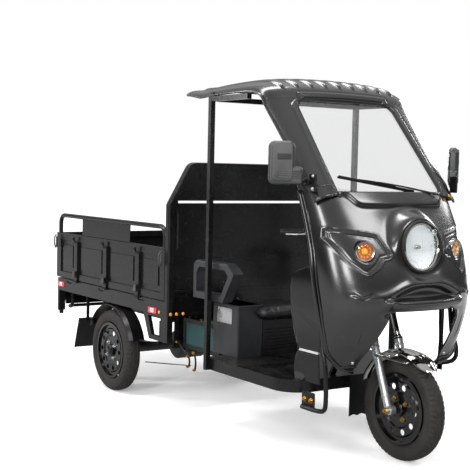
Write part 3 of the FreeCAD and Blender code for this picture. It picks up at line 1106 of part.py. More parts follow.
def side_tubes(nose):
    """The bent tube each side: from the floor's corner round the nose and up behind the shell's edge."""
    width, height = k.tube_front_x - k.tube_rear_x, k.tube_knee_z - k.tube_low_z
    points = [(k.floor_front - k.rail_width * 1.5, k.cross_half - k.tube_radius, k.low_rail_bottom - k.tube_radius / 2)]
    points += [(k.tube_rear_x + along * width, k.tube_y, k.tube_low_z + up * height) for along, up in TUBE_SHARES]
    rows = nose_rows(0)
    for level in (4, 6):
        spot = rows[level][0]
        points.append((spot.x - k.tube_inset / 2, k.tube_y, spot.z))
    spot = rows[-2][0]
    points.append((spot.x - k.tube_inset, k.tube_y, k.tube_top_z))
    piece = shaped(tube(points, k.tube_radius, k.tube_bend))
    piece = carve(carve(carve(piece, nose), named("main_frame")), named("cab_floor"))
    keep(group(piece, twin(piece)), "side_tubes")


def lamp_body(x, y, z, tilt="0", yaw="0"):
    """A body whose Y axis points forward out of a lamp, tilted up and turned outward."""
    body = new_body(x, y, z)
    facing = Rotation(Vector(0, 0, 1), -90)
    body.Placement.Rotation = Rotation(worth(yaw), -worth(tilt), 0) * facing
    return body


def lamps():
    """The round headlamp in its bezel, and the two indicators in their rings."""
    back = "lamp_depth * cos(lamp_tilt)"
    place = ("lamp_x - " + back, "0", "lamp_z - lamp_depth * sin(lamp_tilt)", "lamp_tilt")
    bezel = lamp_body(*place)
    outer = "lamp_radius + bezel_width"
    turned(bezel, [("0", "0"), (outer, "0"), (outer, "lamp_depth"),
                   ("lamp_radius + bezel_width / 2", "lamp_depth + bezel_edge"), ("lamp_radius", "lamp_depth"),
                   ("lamp_radius", "lamp_depth * 0.7"), ("0", "lamp_depth * 0.4")])
    keep(bezel, "headlamp_bezel")
    lens = lamp_body(*place)
    rim, foot = "lamp_radius - running_gap", "lamp_depth * 0.72"
    turned(lens, [("0", foot), (rim, foot), (rim, foot + " + lens_thickness"),
                  (rim + " - lens_dome", foot + " + lens_thickness + lens_dome * 0.6"),
                  ("lamp_radius / 2", foot + " + lens_thickness + lens_dome"),
                  ("0", foot + " + lens_thickness + lens_dome * 1.2")])
    keep(lens, "headlamp_lens")
    blinker = lamp_body("indicator_x - indicator_depth * cos(indicator_yaw)",
                        "indicator_y - indicator_depth * sin(indicator_yaw)", "indicator_z", yaw="indicator_yaw")
    ring, top = "indicator_radius + indicator_ring", "indicator_depth + indicator_ring"
    turned(blinker, [("0", "0"), (ring, "0"), (ring, top), ("indicator_radius", top),
                     ("indicator_radius", "indicator_depth"),
                     ("indicator_radius - indicator_dome", "indicator_depth + indicator_dome * 0.7"),
                     ("0", "indicator_depth + indicator_dome")])
    keep(group(blinker, twin(blinker)), "indicators")


def mirrors(nose):
    """Door-style mirrors on short arms from the foot of the pillars."""
    body = new_body("mirror_x", "mirror_y", "mirror_z", Rotation(Vector(0, 0, 1), k.mirror_yaw))
    tie(body, Placement__Rotation__Angle="mirror_yaw")
    half, high = "mirror_width / 2", "mirror_height / 2"
    pad(body, "YZ", [("-%s * 0.6" % half, "-" + high), (half, "-" + high), (half, high), ("-" + half, high),
                     ("-" + half, "-%s * 0.35" % high)], "mirror_depth", middle=True)
    round_edges(body, "mirror_round", lambda middle, run, edge: True)
    start = (k.mirror_x, k.mirror_y, k.mirror_z - k.mirror_height / 3)
    end = (k.mirror_foot_x, k.nose_half * 0.97, k.mirror_foot_z - k.mirror_arm_radius * 3)
    arm = shaped(Part.makeCylinder(k.mirror_arm_radius, (Vector(*end) - Vector(*start)).Length, Vector(*start),
                                   Vector(*end) - Vector(*start)))
    side = carve(weld(body, arm), nose)
    keep(group(side, twin(side)), "mirrors")


def leg_shield():
    """The moulded shield before the driver's legs: a bent back with a side wall each side."""
    rise, run = "(shield_top - floor_top)", "(shield_front_x - shield_rear_x)"
    back = [("shield_rear_x + %s * %s" % (run, along), "floor_top + %s * %s" % (rise, up)) for along, up in SHIELD_SHARES]
    front = [(x + " + shield_wall", z) for x, z in reversed(back)]
    body = new_body()
    pad(body, "XZ", back + front, "shield_half * 2", middle=True)
    wall = new_body("0", "shield_half - shield_wall")
    edge = [("shield_rear_x + %s * 0.45" % run, "floor_top"), ("shield_side_front_x", "floor_top + %s * 0.30" % rise),
            ("shield_side_front_x", "floor_top + %s * 0.62" % rise), ("shield_front_x", "shield_top")]
    pad(wall, "XZ", back + edge[:-1], "shield_wall", back=True)
    stem_hole = raked("neck_top - neck_radius * 3", "shield_top + neck_radius", "neck_radius + shield_wall")
    keep(carve(carve(weld(body, wall, twin(wall)), stem_hole), named("main_frame")), "leg_shield")


wheels()
chassis()
fork()
handlebar()
front_fender()
bed_floor()
headboard()
rear_end()
bed_fenders()
side_gates()
tailgate()
rear_axle()
leaf_springs()
ram()
cab_floor()
seat()
battery()
doc.recompute()
top, nose = cab_shell()
lamps()
mirrors(nose)
leg_shield()
doc.recompute()
cab_frame(top)
side_tubes(nose)
doc.recompute()
doc.recompute()
for item in doc.Objects:
    if "Invalid" in item.State or "Error" in item.State:
        raise RuntimeError("failed: " + item.Name)
os.makedirs("parts", exist_ok=True)
for piece in PIECES:
    if piece.Shape.isNull() or not piece.Shape.isValid():
        raise RuntimeError("bad shape: " + piece.Label)
    piece.Shape.exportStep("parts/" + piece.Label + ".step")
    print(piece.Label, len(piece.Shape.Solids), round(piece.Shape.Volume / 1000), "cm3")
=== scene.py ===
"""An electric cargo tricycle with a moulded cab and a tipping bed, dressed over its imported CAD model."""

import math

import bmesh
import bpy
import mathutils
import numpy as np
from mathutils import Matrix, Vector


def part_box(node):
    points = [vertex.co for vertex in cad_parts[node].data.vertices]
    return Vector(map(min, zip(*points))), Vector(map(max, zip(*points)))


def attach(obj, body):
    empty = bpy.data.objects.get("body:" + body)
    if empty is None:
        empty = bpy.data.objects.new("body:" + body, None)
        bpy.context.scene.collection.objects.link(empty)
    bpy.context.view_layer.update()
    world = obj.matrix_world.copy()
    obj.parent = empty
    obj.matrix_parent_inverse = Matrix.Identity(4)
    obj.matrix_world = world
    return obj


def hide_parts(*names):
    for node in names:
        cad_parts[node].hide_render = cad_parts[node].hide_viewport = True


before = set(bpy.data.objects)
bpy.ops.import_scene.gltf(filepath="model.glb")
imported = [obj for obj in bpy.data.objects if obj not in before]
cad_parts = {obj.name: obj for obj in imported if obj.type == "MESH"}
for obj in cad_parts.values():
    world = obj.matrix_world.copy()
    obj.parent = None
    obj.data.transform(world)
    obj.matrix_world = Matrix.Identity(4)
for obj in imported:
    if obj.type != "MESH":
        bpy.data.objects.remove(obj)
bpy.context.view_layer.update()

# ---------------- chassis, cab tubes and brackets
# Welded steel tube and folded plate, powder-coated satin black in one bake. The coat lies in a fine
# orange peel, keeps slow patches of road dust and carries faint scuffs along the tubes.


def linear(code):
    """sRGB hex to linear light: c / 12.92 up to 0.04045, else ((c + 0.055) / 1.055) ** 2.4."""
    share = np.array([int(code[at:at + 2], 16) for at in (1, 3, 5)]) / 255
    light = np.where(share > 0.04045, ((share + 0.055) / 1.055) ** 2.4, share / 12.92)
    return (*light.tolist(), 1.0)


def add(finish, kind, settings=(), links=()):
    """Adds one shader node: settings are its properties or sockets, links are {socket: (node, output)}."""
    node = finish.node_tree.nodes.new("ShaderNode" + kind)
    for key, value in dict(settings).items():
        if isinstance(key, str) and key in node.bl_rna.properties:
            setattr(node, key, value)
        else:
            node.inputs[key].default_value = value
    for key, (source, output) in dict(links).items():
        finish.node_tree.links.new(source.outputs[output], node.inputs[key])
    return node


BARE_GREY, ROAD_DUST = "#5a5957", "#77716a"


def coated(name, base, drift, rough, spread, grain, depth, edge=0.0, scuff=0.0, dust=0.0, patch=140.0,
           specular=0.5, **shader):
    """A finish, in mm: colour and gloss drift over patches; one grain of bump, scuffs, and dust on top."""
    made = bpy.data.materials.new(name)
    made.use_nodes = True
    made.node_tree.nodes.clear()
    place = add(made, "TexCoord")
    slow = add(made, "TexNoise", {"Scale": 1000 / patch, "Detail": 6.0, "Roughness": 0.62},
               {"Vector": (place, "Object")})
    share = add(made, "MapRange", {"From Min": 0.38, "From Max": 0.66}, {"Value": (slow, "Fac")})
    colour = add(made, "Mix", {"data_type": "RGBA", 6: linear(base), 7: linear(drift)},
                 {0: (share, "Result")})
    shine = add(made, "MapRange", {"From Min": 0.3, "From Max": 0.7, "To Min": rough - spread,
                                             "To Max": rough + spread}, {"Value": (slow, "Fac")})
    if scuff:
        along = add(made, "Mapping", {"Scale": (5.0, 70.0, 70.0)}, {"Vector": (place, "Object")})
        streak = add(made, "TexNoise", {"Scale": 1.0, "Detail": 3.0}, {"Vector": (along, "Vector")})
        mark = add(made, "MapRange", {"From Min": 0.62, "From Max": 0.74, "To Max": scuff},
                   {"Value": (streak, "Fac")})
        colour = add(made, "Mix", {"data_type": "RGBA", 7: linear(BARE_GREY)},
                     {0: (mark, "Result"), 6: (colour, 2)})
    if dust:
        way = add(made, "NewGeometry")
        upward = add(made, "SeparateXYZ", {}, {"Vector": (way, "Normal")})
        lying = add(made, "MapRange", {"From Min": 0.5, "From Max": 1.0, "To Max": dust},
                    {"Value": (upward, "Z")})
        settled = add(made, "Math", {"operation": "MULTIPLY"}, {0: (lying, "Result"), 1: (share, "Result")})
        colour = add(made, "Mix", {"data_type": "RGBA", 7: linear(ROAD_DUST)},
                     {0: (settled, "Value"), 6: (colour, 2)})
    fine = add(made, "TexNoise", {"Scale": 1000 / grain, "Detail": 2.0}, {"Vector": (place, "Object")})
    relief = add(made, "Bump", {"Distance": depth / 1000}, {"Height": (fine, "Fac")})
    if edge:
        soft = add(made, "Bevel", {"samples": 3, "Radius": edge / 1000})
        made.node_tree.links.new(soft.outputs["Normal"], relief.inputs["Normal"])
    skin = add(made, "BsdfPrincipled", {"Specular IOR Level": specular, **shader},
               {"Base Color": (colour, 2), "Roughness": (shine, "Result"), "Normal": (relief, "Normal")})
    add(made, "OutputMaterial", {}, {"Surface": (skin, "BSDF")})
    return made


def wear(finish, *nodes):
    """Gives a finish to CAD nodes."""
    for name in nodes:
        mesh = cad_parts[name].data
        mesh.materials.clear()
        mesh.materials.append(finish)


powder_coat = coated("satin_black_powder_coat", "#0a0a0b", "#101011", 0.28, 0.06, 1.2, 0.010, edge=1.5,
                     scuff=0.08, dust=0.08, specular=0.24)
wear(powder_coat, "main_frame", "battery_frames", "cab_frame", "leaf_springs", "handlebar",
     "rear_bumper", "bed_fenders", "ram_barrel", "cab_floor")

# ---------------- rear axle and motor
# Sand-cast housings, painted grey-black over the raw skin: coarse grain, duller than the tubes.

cast_paint = coated("painted_casting", "#232324", "#2f2e2c", 0.55, 0.08, 2.2, 0.3, scuff=0.1, dust=0.35)
wear(cast_paint, "rear_axle", "drive_motor")

# ---------------- tyres
# Tube tyres of black rubber on 12-inch rims: a crowned tread of blocks between zigzag grooves, cut
# to the shoulders, over plain sidewalls with two fine rings. Rubber is dull, and browned by dust.

WHEELS = {"front_wheel": (1261, 0, 1), "rear_wheel_right": (-755, -469, 1), "rear_wheel_left": (-755, 469, -1)}
AXLE_Z = 245
MM = 0.001


def piece(name, sheets, finish, body="chassis", stands_for=(), crease=36):
    """Joins grids of points, in mm, into one object of quads between neighbours; equal points become one."""
    corners = np.concatenate([sheet.reshape(-1, 3) for sheet in sheets]) * MM
    quads, start = [], 0
    for sheet in sheets:
        rows, columns = sheet.shape[:2]
        index = start + np.arange(rows * columns).reshape(rows, columns)
        ring = [index[:-1, :-1], index[:-1, 1:], index[1:, 1:], index[1:, :-1]]
        quads.append(np.stack(ring, -1).reshape(-1, 4))
        start += rows * columns
    quads = np.concatenate(quads)
    mesh = bpy.data.meshes.new(name)
    mesh.vertices.add(len(corners))
    mesh.vertices.foreach_set("co", corners.ravel())
    mesh.loops.add(quads.size)
    mesh.loops.foreach_set("vertex_index", quads.ravel().astype(np.int32))
    mesh.polygons.add(len(quads))
    mesh.polygons.foreach_set("loop_start", np.arange(0, quads.size, 4, dtype=np.int32))
    mesh.update(calc_edges=True)
    work = bmesh.new()
    work.from_mesh(mesh)
    bmesh.ops.remove_doubles(work, verts=work.verts, dist=0.02 * MM)
    bmesh.ops.recalc_face_normals(work, faces=work.faces)
    work.to_mesh(mesh)
    work.free()
    mesh.shade_smooth()
    mesh.set_sharp_from_angle(angle=math.radians(crease))
    mesh.materials.append(finish)
    made = bpy.data.objects.new(name, mesh)
    bpy.context.scene.collection.objects.link(made)
    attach(made, body)
    if stands_for:
        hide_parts(*stands_for)
    return made


def power(wave, exponent):
    """sign(w) |w| ** e, the superellipse's squared-off sine."""
    return np.sign(wave) * np.abs(wave) ** exponent


BLOCKS, TREAD_FROM, GROOVE = 60, 231, 5.0


def bell(distance, width, power_of=2):
    """exp(-(d / w) ^ n), a smooth bump of half width w."""
    return np.exp(-(distance / width) ** power_of)


def tyre(x, y, half=47.5, middle=203.5, reach=41.0):
    """A superellipse section round the axle; blocks stand up to 5 mm between grooves cut in its crown."""
    ground = np.concatenate([np.linspace(-2.6, 0.62, 24), np.linspace(0.66, 2.48, 41),
                             np.linspace(2.52, 3.683, 9)])
    turn, section = np.meshgrid(np.linspace(0, 2 * np.pi, 10 * BLOCKS + 1), ground)
    across = half * power(np.cos(section), 0.72)
    out = middle + reach * power(np.sin(section), 0.80)
    lane = across / half
    crown = 1 / (1 + np.exp(-(out - TREAD_FROM) / 1.6))
    beat = BLOCKS * turn
    zigzag = 0.10 * (2 / np.pi) * np.arcsin(np.sin(beat / 2))
    rings = sum(bell(lane - at - zigzag, 0.05) for at in (-0.33, 0.33))
    cuts = (1 / (1 + np.exp(-9 * (np.sin(beat + 5 * np.abs(lane)) - 0.35)))
            / (1 + np.exp(-26 * (np.abs(lane) - 0.48))))
    slits = 0.5 * bell(lane - 0.2 * np.sin(beat), 0.03)
    groove = np.clip(rings + cuts + slits, 0, 1)
    out = out - GROOVE * crown * groove
    swell = 1.1 * (bell(out - 222, 1.3) + bell(out - 181, 1.5)) * (out > 170)
    across = across + np.sign(across) * swell * 0.5
    return np.stack([x + out * np.sin(turn), y + across, AXLE_Z + out * np.cos(turn)], -1)


rubber = coated("tyre_rubber", "#1c1a19", "#2a2724", 0.66, 0.08, 1.4, 0.08, dust=0.1, patch=90.0,
                specular=0.3)
for body, (x, y, side) in WHEELS.items():
    plain = "tyre_" + body.replace("_wheel", "")
    piece("treaded_" + plain, [tyre(x, y)], rubber, body, [plain], crease=50)

# ---------------- wheels
# Pressed steel discs in gloss black stove enamel, hung on a cast drum by four nuts, zinc-yellow in
# front, with a rubber valve. Enamel is smooth and hard, and shows the lamps as sharp lights.

enamel = coated("black_stove_enamel", "#060607", "#0c0c0d", 0.14, 0.05, 3.0, 0.02, edge=1.2,
                specular=0.45)
wear(enamel, "rim_front", "rim_rear_right", "rim_rear_left")
zinc = coated("yellow_zinc_plate", "#b4924a", "#8d7440", 0.30, 0.08, 1.0, 0.05, Metallic=1.0)
bright = coated("bright_zinc_plate", "#c4c6c8", "#a5a8ab", 0.28, 0.08, 1.0, 0.05, Metallic=1.0)
soft_black = coated("moulded_black_rubber", "#0d0d0d", "#151515", 0.50, 0.06, 0.8, 0.06, specular=0.3)


def basis(way):
    """Two unit directions square to a way and to each other."""
    way = np.array(way, float) / np.linalg.norm(way)
    aside = np.cross(way, (0, 0, 1) if abs(way[2]) < 0.9 else (1, 0, 0))
    aside /= np.linalg.norm(aside)
    return way, aside, np.cross(way, aside)


def turned(profile, centre, way, sides=32, wave=None):
    """A profile (along, radius times wave(a)) spun round a line: centre + along way + radius (cos, sin)."""
    way, aside, over = basis(way)
    profile = np.array(profile, float)
    angle = np.linspace(0, 2 * np.pi, sides + 1)
    radius = profile[:, 1:2] * (np.ones_like(angle) if wave is None else wave(angle))
    ring = np.cos(angle)[:, None] * aside + np.sin(angle)[:, None] * over
    return np.array(centre, float) + profile[:, None, :1] * way + radius[..., None] * ring


def hexagon(angle):
    """A hexagon's edge at an angle, as a share of its corner's radius: cos 30 / cos(a mod 60 - 30)."""
    return np.cos(np.pi / 6) / np.cos(np.mod(angle, np.pi / 3) - np.pi / 6)


def nut(centre, way, across):
    """A hexagon nut on a washer, with the end of its bolt standing out."""
    washer = [(0, 0), (0, across * 0.72), (across * 0.12, across * 0.72), (across * 0.12, 0)]
    head = [(across * 0.1, 0), (across * 0.1, across * 0.577), (across * 0.5, across * 0.577),
            (across * 0.62, across * 0.48), (across * 0.62, 0)]
    end = [(across * 0.5, 0), (across * 0.5, across * 0.28), (across * 0.9, across * 0.28), (across * 0.95, 0)]
    return [turned(washer, centre, way, 24), turned(head, centre, way, 24, hexagon),
            turned(end, centre, way, 12)]


def nuts(places, way, across):
    """A nut at each place."""
    return [sheet for place in places for sheet in nut(place, way, across)]


def around(x, y, z, radius, count, start=0.0):
    """Places on a circle about a Y line."""
    angle = start + np.arange(count) * 2 * np.pi / count
    return np.stack([x + radius * np.cos(angle), np.full(count, float(y)), z + radius * np.sin(angle)], -1)


for body, (x, y, side) in WHEELS.items():
    out = (0, -side, 0)
    disc_y = y - side * 30
    studs = nuts(around(x, disc_y, AXLE_Z, 54, 4, 0.6), out, 17)
    piece("wheel_nuts_" + body, studs, zinc if body == "front_wheel" else bright, body)
    cap = [(0, 0), (0, 36), (10, 35), (14, 30), (15, 24), (21, 22), (24, 14), (25, 0)]
    piece("hub_cap_" + body, [turned(cap, (x, disc_y, AXLE_Z), out, 40)], enamel, body)
    stem = [(0, 0), (0, 5), (6, 4.2), (20, 3.6), (22, 4.4), (30, 4.4), (32, 3), (32, 0)]
    valve = turned(stem, (x - 78, y - side * 24, AXLE_Z + 112), (0.35, -0.9 * side, -0.6), 14)
    piece("valve_" + body, [valve], soft_black, body)

# ---------------- front fork
# Cast alloy sliders, bead-blasted and left bare, on chromed stanchions; a rolled and chromed fender
# on two stays. Rubber wipers ring the stanchions, and zinc-plated bolts hold axle, stays and crown.

alloy = coated("blasted_cast_alloy", "#b9bbbd", "#9fa2a4", 0.34, 0.07, 1.0, 0.10, Metallic=0.85)
chrome = coated("chrome_plate", "#a5a3a1", "#8f8c89", 0.08, 0.04, 4.0, 0.01, Metallic=1.0)
wear(alloy, "fork_sliders")
wear(chrome, "fork_crown", "ram_rod")
wear(bright, "front_axle")
RAKE = math.radians(20.6)
UP_FORK = np.array([-math.sin(RAKE), 0, math.cos(RAKE)])
LEG_FOOT = np.array([WHEELS["front_wheel"][0] - 17, 0, AXLE_Z])
LEG_Y = 78


def up_leg(height, y=0.0):
    """A place on a fork leg's middle line at a height."""
    return LEG_FOOT + UP_FORK * (height - AXLE_Z) / math.cos(RAKE) + np.array([0, y, 0])


def both(sheets):
    """Sheets and their mirror images across the vehicle."""
    return sheets + [sheet * np.array([1, -1, 1]) for sheet in sheets]


def eased(distance, width):
    """0.5 + 0.5 tanh(2 d / w): a smooth step of a width."""
    return 0.5 + 0.5 * np.tanh(2 * distance / width)


def smoothed(points, times=3):
    """Chaikin's corner cutting: each run gives its points at a quarter and three quarters; the ends stay."""
    points = np.array(points, float)
    for _ in range(times):
        near, far = points[:-1] * 0.75 + points[1:] * 0.25, points[:-1] * 0.25 + points[1:] * 0.75
        cut = np.stack([near, far], 1).reshape(-1, points.shape[1])
        points = np.concatenate([points[:1], cut, points[-1:]])
    return points


def swept(path, radius, up=(0, 0, 1), sides=12, squash=1.0, loop=False):
    """A round or oval bar: path + radius (cos a side + squash sin a over), side = tangent x up."""
    path = np.array(path, float)
    if loop:
        path = np.concatenate([path, path[:1]])
        tangent = np.roll(path[:-1], -1, 0) - np.roll(path[:-1], 1, 0)
        tangent = np.concatenate([tangent, tangent[:1]])
    else:
        tangent = np.gradient(path, axis=0)
    tangent /= np.linalg.norm(tangent, axis=1)[:, None]
    side = np.cross(tangent, np.array(up, float))
    side /= np.linalg.norm(side, axis=1)[:, None]
    over = np.cross(side, tangent)
    angle = np.linspace(0, 2 * np.pi, sides + 1)
    radius = np.broadcast_to(np.array(radius, float), len(path))[:, None, None]
    rings = path[:, None] + radius * (np.cos(angle)[None, :, None] * side[:, None]
                                      + squash * np.sin(angle)[None, :, None] * over[:, None])
    if loop:
        return rings
    ends = [np.repeat(path[at][None, None], sides + 1, 1) for at in (0, -1)]
    return np.concatenate([ends[0], rings, ends[1]])


def folded(outer, inner):
    """A closed sheet: two grids of points and the four walls between their edges."""
    return [outer, inner, np.stack([outer[0], inner[0]]), np.stack([outer[-1], inner[-1]]),
            np.stack([outer[:, 0], inner[:, 0]], 1), np.stack([outer[:, -1], inner[:, -1]], 1)]


FRONT_X = WHEELS["front_wheel"][0]
FENDER_WIDE, FENDER_OUT, FENDER_WALL, STAY_OUT, STAY_Z = 64, 269, 2.5, 254, 492
sweep, cross = np.meshgrid(np.radians(np.linspace(47, 158, 120)), np.linspace(-1, 1, 49), indexing="ij")
tip = 1 - np.clip((np.radians(64) - sweep) / np.radians(17), 0, 1) ** 2.2 * 0.66
crown_drop = 20 * np.abs(cross) ** 2.4 - 5 * bell(np.abs(cross) - 1, 0.06) + 3 * bell(cross, 0.12)
fender_r = FENDER_OUT - crown_drop + 15 * eased(np.radians(128) - sweep, 0.5)
fender_r += 8 * np.clip((np.radians(56) - sweep) / np.radians(9), 0, 1) ** 2
skins = [np.stack([FRONT_X + (fender_r - wall) * np.cos(sweep), FENDER_WIDE * tip * cross,
                   AXLE_Z + (fender_r - wall) * np.sin(sweep)], -1) for wall in (0, FENDER_WALL)]
stays = []
for reach in (70, 98):
    lean = math.radians(reach)
    hold = np.array([FRONT_X + STAY_OUT * math.cos(lean), 60, AXLE_Z + STAY_OUT * math.sin(lean)])
    stays.append(swept(smoothed([hold, hold + (0, 12, -8), up_leg(STAY_Z, LEG_Y + 22)]), 4.5, (1, 0, 0)))
piece("rolled_fender", folded(*skins) + both(stays), chrome, "steering", ["front_fender"], crease=50)
wiper_ring = [(0, 0), (0, 20), (4, 22), (10, 22), (13, 18), (22, 16), (24, 12), (24, 0)]
piece("fork_wiper_rings", both([turned(wiper_ring, up_leg(548, LEG_Y), UP_FORK, 28)]), soft_black,
      "steering")
band = [(0, 0), (0, 20.5), (2, 21.5), (7, 21.5), (9, 20.5), (9, 0)]
bands = [turned(band, up_leg(height, LEG_Y), UP_FORK, 28) for height in (300, 470, 520)]
piece("fork_slider_bands", both(bands), alloy, "steering")
axle_nuts = [sheet for side in (-1, 1) for sheet in nut((1252, 99 * side, AXLE_Z - 2), (0, side, 0), 22)]
piece("front_axle_nuts", axle_nuts, zinc, "steering")
stay_bolts = nut(up_leg(STAY_Z, -LEG_Y - 19), (0, -1, 0), 12) + nut(up_leg(STAY_Z, LEG_Y + 19), (0, 1, 0), 12)
pinch = nuts([up_leg(694, y) + UP_FORK * 13 for y in (-LEG_Y, LEG_Y)], UP_FORK, 19)
piece("fork_bolts", stay_bolts + pinch, bright, "steering")

# ---------------- bed, drop sides and headboard
# Folded and spot-welded sheet steel, painted satin black over a light orange peel; the floor and the
# gates' inner faces are scuffed by goods, and dust lies on what faces up.

sheet_paint = coated("satin_black_sheet_paint", "#0b0b0c", "#121212", 0.26, 0.06, 1.6, 0.012, edge=2.0,
                     scuff=0.08, dust=0.10, patch=220.0, specular=0.22)
wear(sheet_paint, "bed_floor", "headboard", "rear_board", "side_gate_right", "side_gate_left", "tailgate_panel")


def block(centre, size, corner, edge, axes=None, steps=5):
    """A plate: a rounded rectangle, drawn in by a quarter round towards both its faces, size[2] apart."""
    axes = np.eye(3) if axes is None else np.array(axes, float)
    quarter = np.linspace(0, np.pi / 2, steps)
    inset, rise = edge * (1 - np.sin(quarter)), size[2] / 2 - edge * (1 - np.cos(quarter))
    whole = max(size[:2])
    rows = [(whole, -size[2] / 2), *zip(inset, -rise), *zip(inset[::-1], rise[::-1]), (whole, size[2] / 2)]
    starts = (0, np.pi / 2, np.pi, 1.5 * np.pi)
    angle = np.concatenate([np.linspace(start, start + np.pi / 2, steps) for start in starts] + [[0]])
    sign = np.array([[1, 1]] * steps + [[-1, 1]] * steps + [[-1, -1]] * steps + [[1, -1]] * steps + [[1, 1]])
    sheets = []
    for drawn_in, rise in rows:
        room = np.maximum(np.array(size[:2]) / 2 - drawn_in, 0)
        bend = min(max(corner - drawn_in, 0.01), *np.maximum(room, 0.01))
        arc = bend * np.stack([np.cos(angle), np.sin(angle)], -1) * (room.min() > 0)
        flat = sign * np.maximum(room - bend, 0) + arc
        sheets.append(np.concatenate([flat, np.full((len(flat), 1), rise)], 1))
    return np.array(centre, float) + np.array(sheets) @ axes


galvanised = coated("dulled_galvanised_steel", "#5d5d5c", "#47464a", 0.40, 0.08, 1.0, 0.05, Metallic=0.9)
SILL_Y, GATE_Y = -522, -538
GATE_RIBS = [-1490 + 1395 * share for share in (0.20, 0.49, 0.78)]
ALONG_X = ((1, 0, 0), (0, 0, 1), (0, -1, 0))
RIVET = [(0, 0), (0, 4.4), (0.8, 4.0), (1.3, 2.4), (1.5, 0)]
clasps, caps = [], []
for x in GATE_RIBS:
    clasps.append(block((x - 5, GATE_Y + 1, 660), (30, 40, 5), 4, 1, ALONG_X))
    clasps += [turned(RIVET, (x - 5, GATE_Y - 1.5, z), (0, -1, 0), 16) for z in (650, 672)]
    caps.append(block((x - 4, GATE_Y - 2, 884), (20, 30, 9), 4, 2, ALONG_X))
    caps += nut((x - 4, GATE_Y - 6, 886), (0, -1, 0), 9)
for body, sign, word in (("side_right", 1, "right"), ("side_left", -1, "left")):
    flip = np.array([1, sign, 1])
    piece("gate_hinge_plates_" + word, [sheet * flip for sheet in clasps], galvanised, body)
    piece("gate_rib_caps_" + word, [sheet * flip for sheet in caps], powder_coat, body)
    latches = []
    for x, lean in ((-1477, -1), (-112, 1)):
        latches.append(block((x, GATE_Y + 1, 852), (20, 70, 6), 4, 2, ALONG_X))
        hook = smoothed([(x, GATE_Y - 4, 812), (x, GATE_Y - 14, 830), (x + 3 * lean, GATE_Y - 16, 868),
                         (x + 8 * lean, GATE_Y - 8, 892), (x + 9 * lean, GATE_Y + 3, 896)])
        latches.append(swept(hook, 4.2, (1, 0, 0)))
        latches += nut((x, GATE_Y - 2, 826), (0, -1, 0), 13)
    piece("gate_latches_" + word, [sheet * flip for sheet in latches], galvanised, body)

# ---------------- what hangs on the bed's sill
# Bent wire hooks for the lashing, reflector plates of red acrylic with clear prisms, and four amber
# side markers; all are pressed or moulded, and the plates and markers carry no lettering.

hooks = []
for x in (-1320, -872, -370):
    bow = smoothed([(x - 30, SILL_Y + 3, 606), (x - 22, SILL_Y - 3, 596), (x + 22, SILL_Y - 3, 592),
                    (x + 30, SILL_Y + 3, 602)])
    hooks.append(swept(bow, 3.2, (0, 0, 1)))
piece("lashing_hooks", both(hooks), powder_coat, "bed")
red_acrylic = coated("red_reflector_acrylic", "#b3202c", "#c8323c", 0.20, 0.05, 2.5, 0.25, patch=30.0)
clear_prisms = coated("clear_reflector_prisms", "#e9e6e4", "#cfcac8", 0.15, 0.04, 2.5, 0.3, patch=20.0)
amber_marker = coated("amber_marker_plastic", "#d98a2b", "#c27a20", 0.22, 0.05, 2.0, 0.1, patch=20.0)
reds, clears = [], []
for x, z in ((-1435, 578), (-225, 555)):
    reds.append(block((x, SILL_Y + 0.5, z), (92, 34, 5), 4, 1.5, ALONG_X))
    clears += [block((x + dx, SILL_Y - 2.2, z), (7, 24, 3), 1.5, 0.8, ALONG_X) for dx in (-13, 0, 13)]
piece("sill_reflectors", both(reds), red_acrylic, "bed")
piece("sill_reflector_prisms", both(clears), clear_prisms, "bed")
dome = [(0, 0), (0, 9), (2, 9), (4, 7.5), (6, 4), (6.6, 0)]
markers = [turned(dome, (-148, SILL_Y + 1, 553), (0, -1, 0), 20)]
markers += [turned(dome, (-60, y, 550), (1, 0, 0), 20) for y in (-500, -462, -420)]
piece("side_markers", both(markers), amber_marker, "bed")

# Tail lamps: red acrylic and an amber turn lens over a black case on each bumper loop.
red_lens = coated("red_lamp_acrylic", "#a3121c", "#bf1e28", 0.12, 0.04, 3.0, 0.2, patch=40.0)
TO_REAR = ((0, 1, 0), (0, 0, 1), (1, 0, 0))
cases = [block((-1497, -300, 484), (150, 62, 24), 10, 4, TO_REAR)]
piece("tail_lamp_cases", both(cases), soft_black, "bed")
lens = [block((-1511, -332, 484), (70, 50, 12), 8, 3, TO_REAR)]
turn_lens = [block((-1511, -258, 484), (52, 50, 12), 8, 3, TO_REAR)]
piece("tail_lamp_lenses", both(lens), red_lens, "bed")
piece("tail_turn_lenses", both(turn_lens), amber_marker, "bed")

# ---------------- seat, boxes and batteries
# Injection-moulded polypropylene with a fine leather grain: black for the seat base, dark grey for
# the side box and arm loops, teal for the battery cases, and polished for the leg shield.

grained = coated("grained_dark_polypropylene", "#111112", "#191919", 0.36, 0.06, 1.5, 0.04, edge=2.5,
                 scuff=0.05, dust=0.06, specular=0.26)
grey_moulding = coated("grained_grey_polypropylene", "#1f2022", "#28292b", 0.36, 0.06, 1.6, 0.05, edge=3.0,
                       scuff=0.05, dust=0.05, specular=0.3)
teal_case = coated("teal_battery_polypropylene", "#0a3638", "#0f4344", 0.40, 0.06, 1.5, 0.10, edge=2.5,
                   dust=0.2)
gloss_shield = coated("polished_black_polypropylene", "#070708", "#0c0c0d", 0.13, 0.04, 3.0, 0.01, edge=3.0,
                      specular=0.3)
wear(grained, "seat_base")
wear(grey_moulding, "side_box", "arm_loops")
wear(teal_case, "battery_packs")
wear(soft_black, "rear_flaps", "front_flap")
lid = [block((256, -270, 634), (246, 164, 12), 9, 4)]
piece("side_box_lid", lid, grey_moulding)
stainless = coated("brushed_stainless_plate", "#c8c9ca", "#aeb0b2", 0.26, 0.06, 0.8, 0.04, Metallic=1.0)
plate = [block((252, -351.5, 578), (138, 82, 3), 4, 1, ALONG_X)]
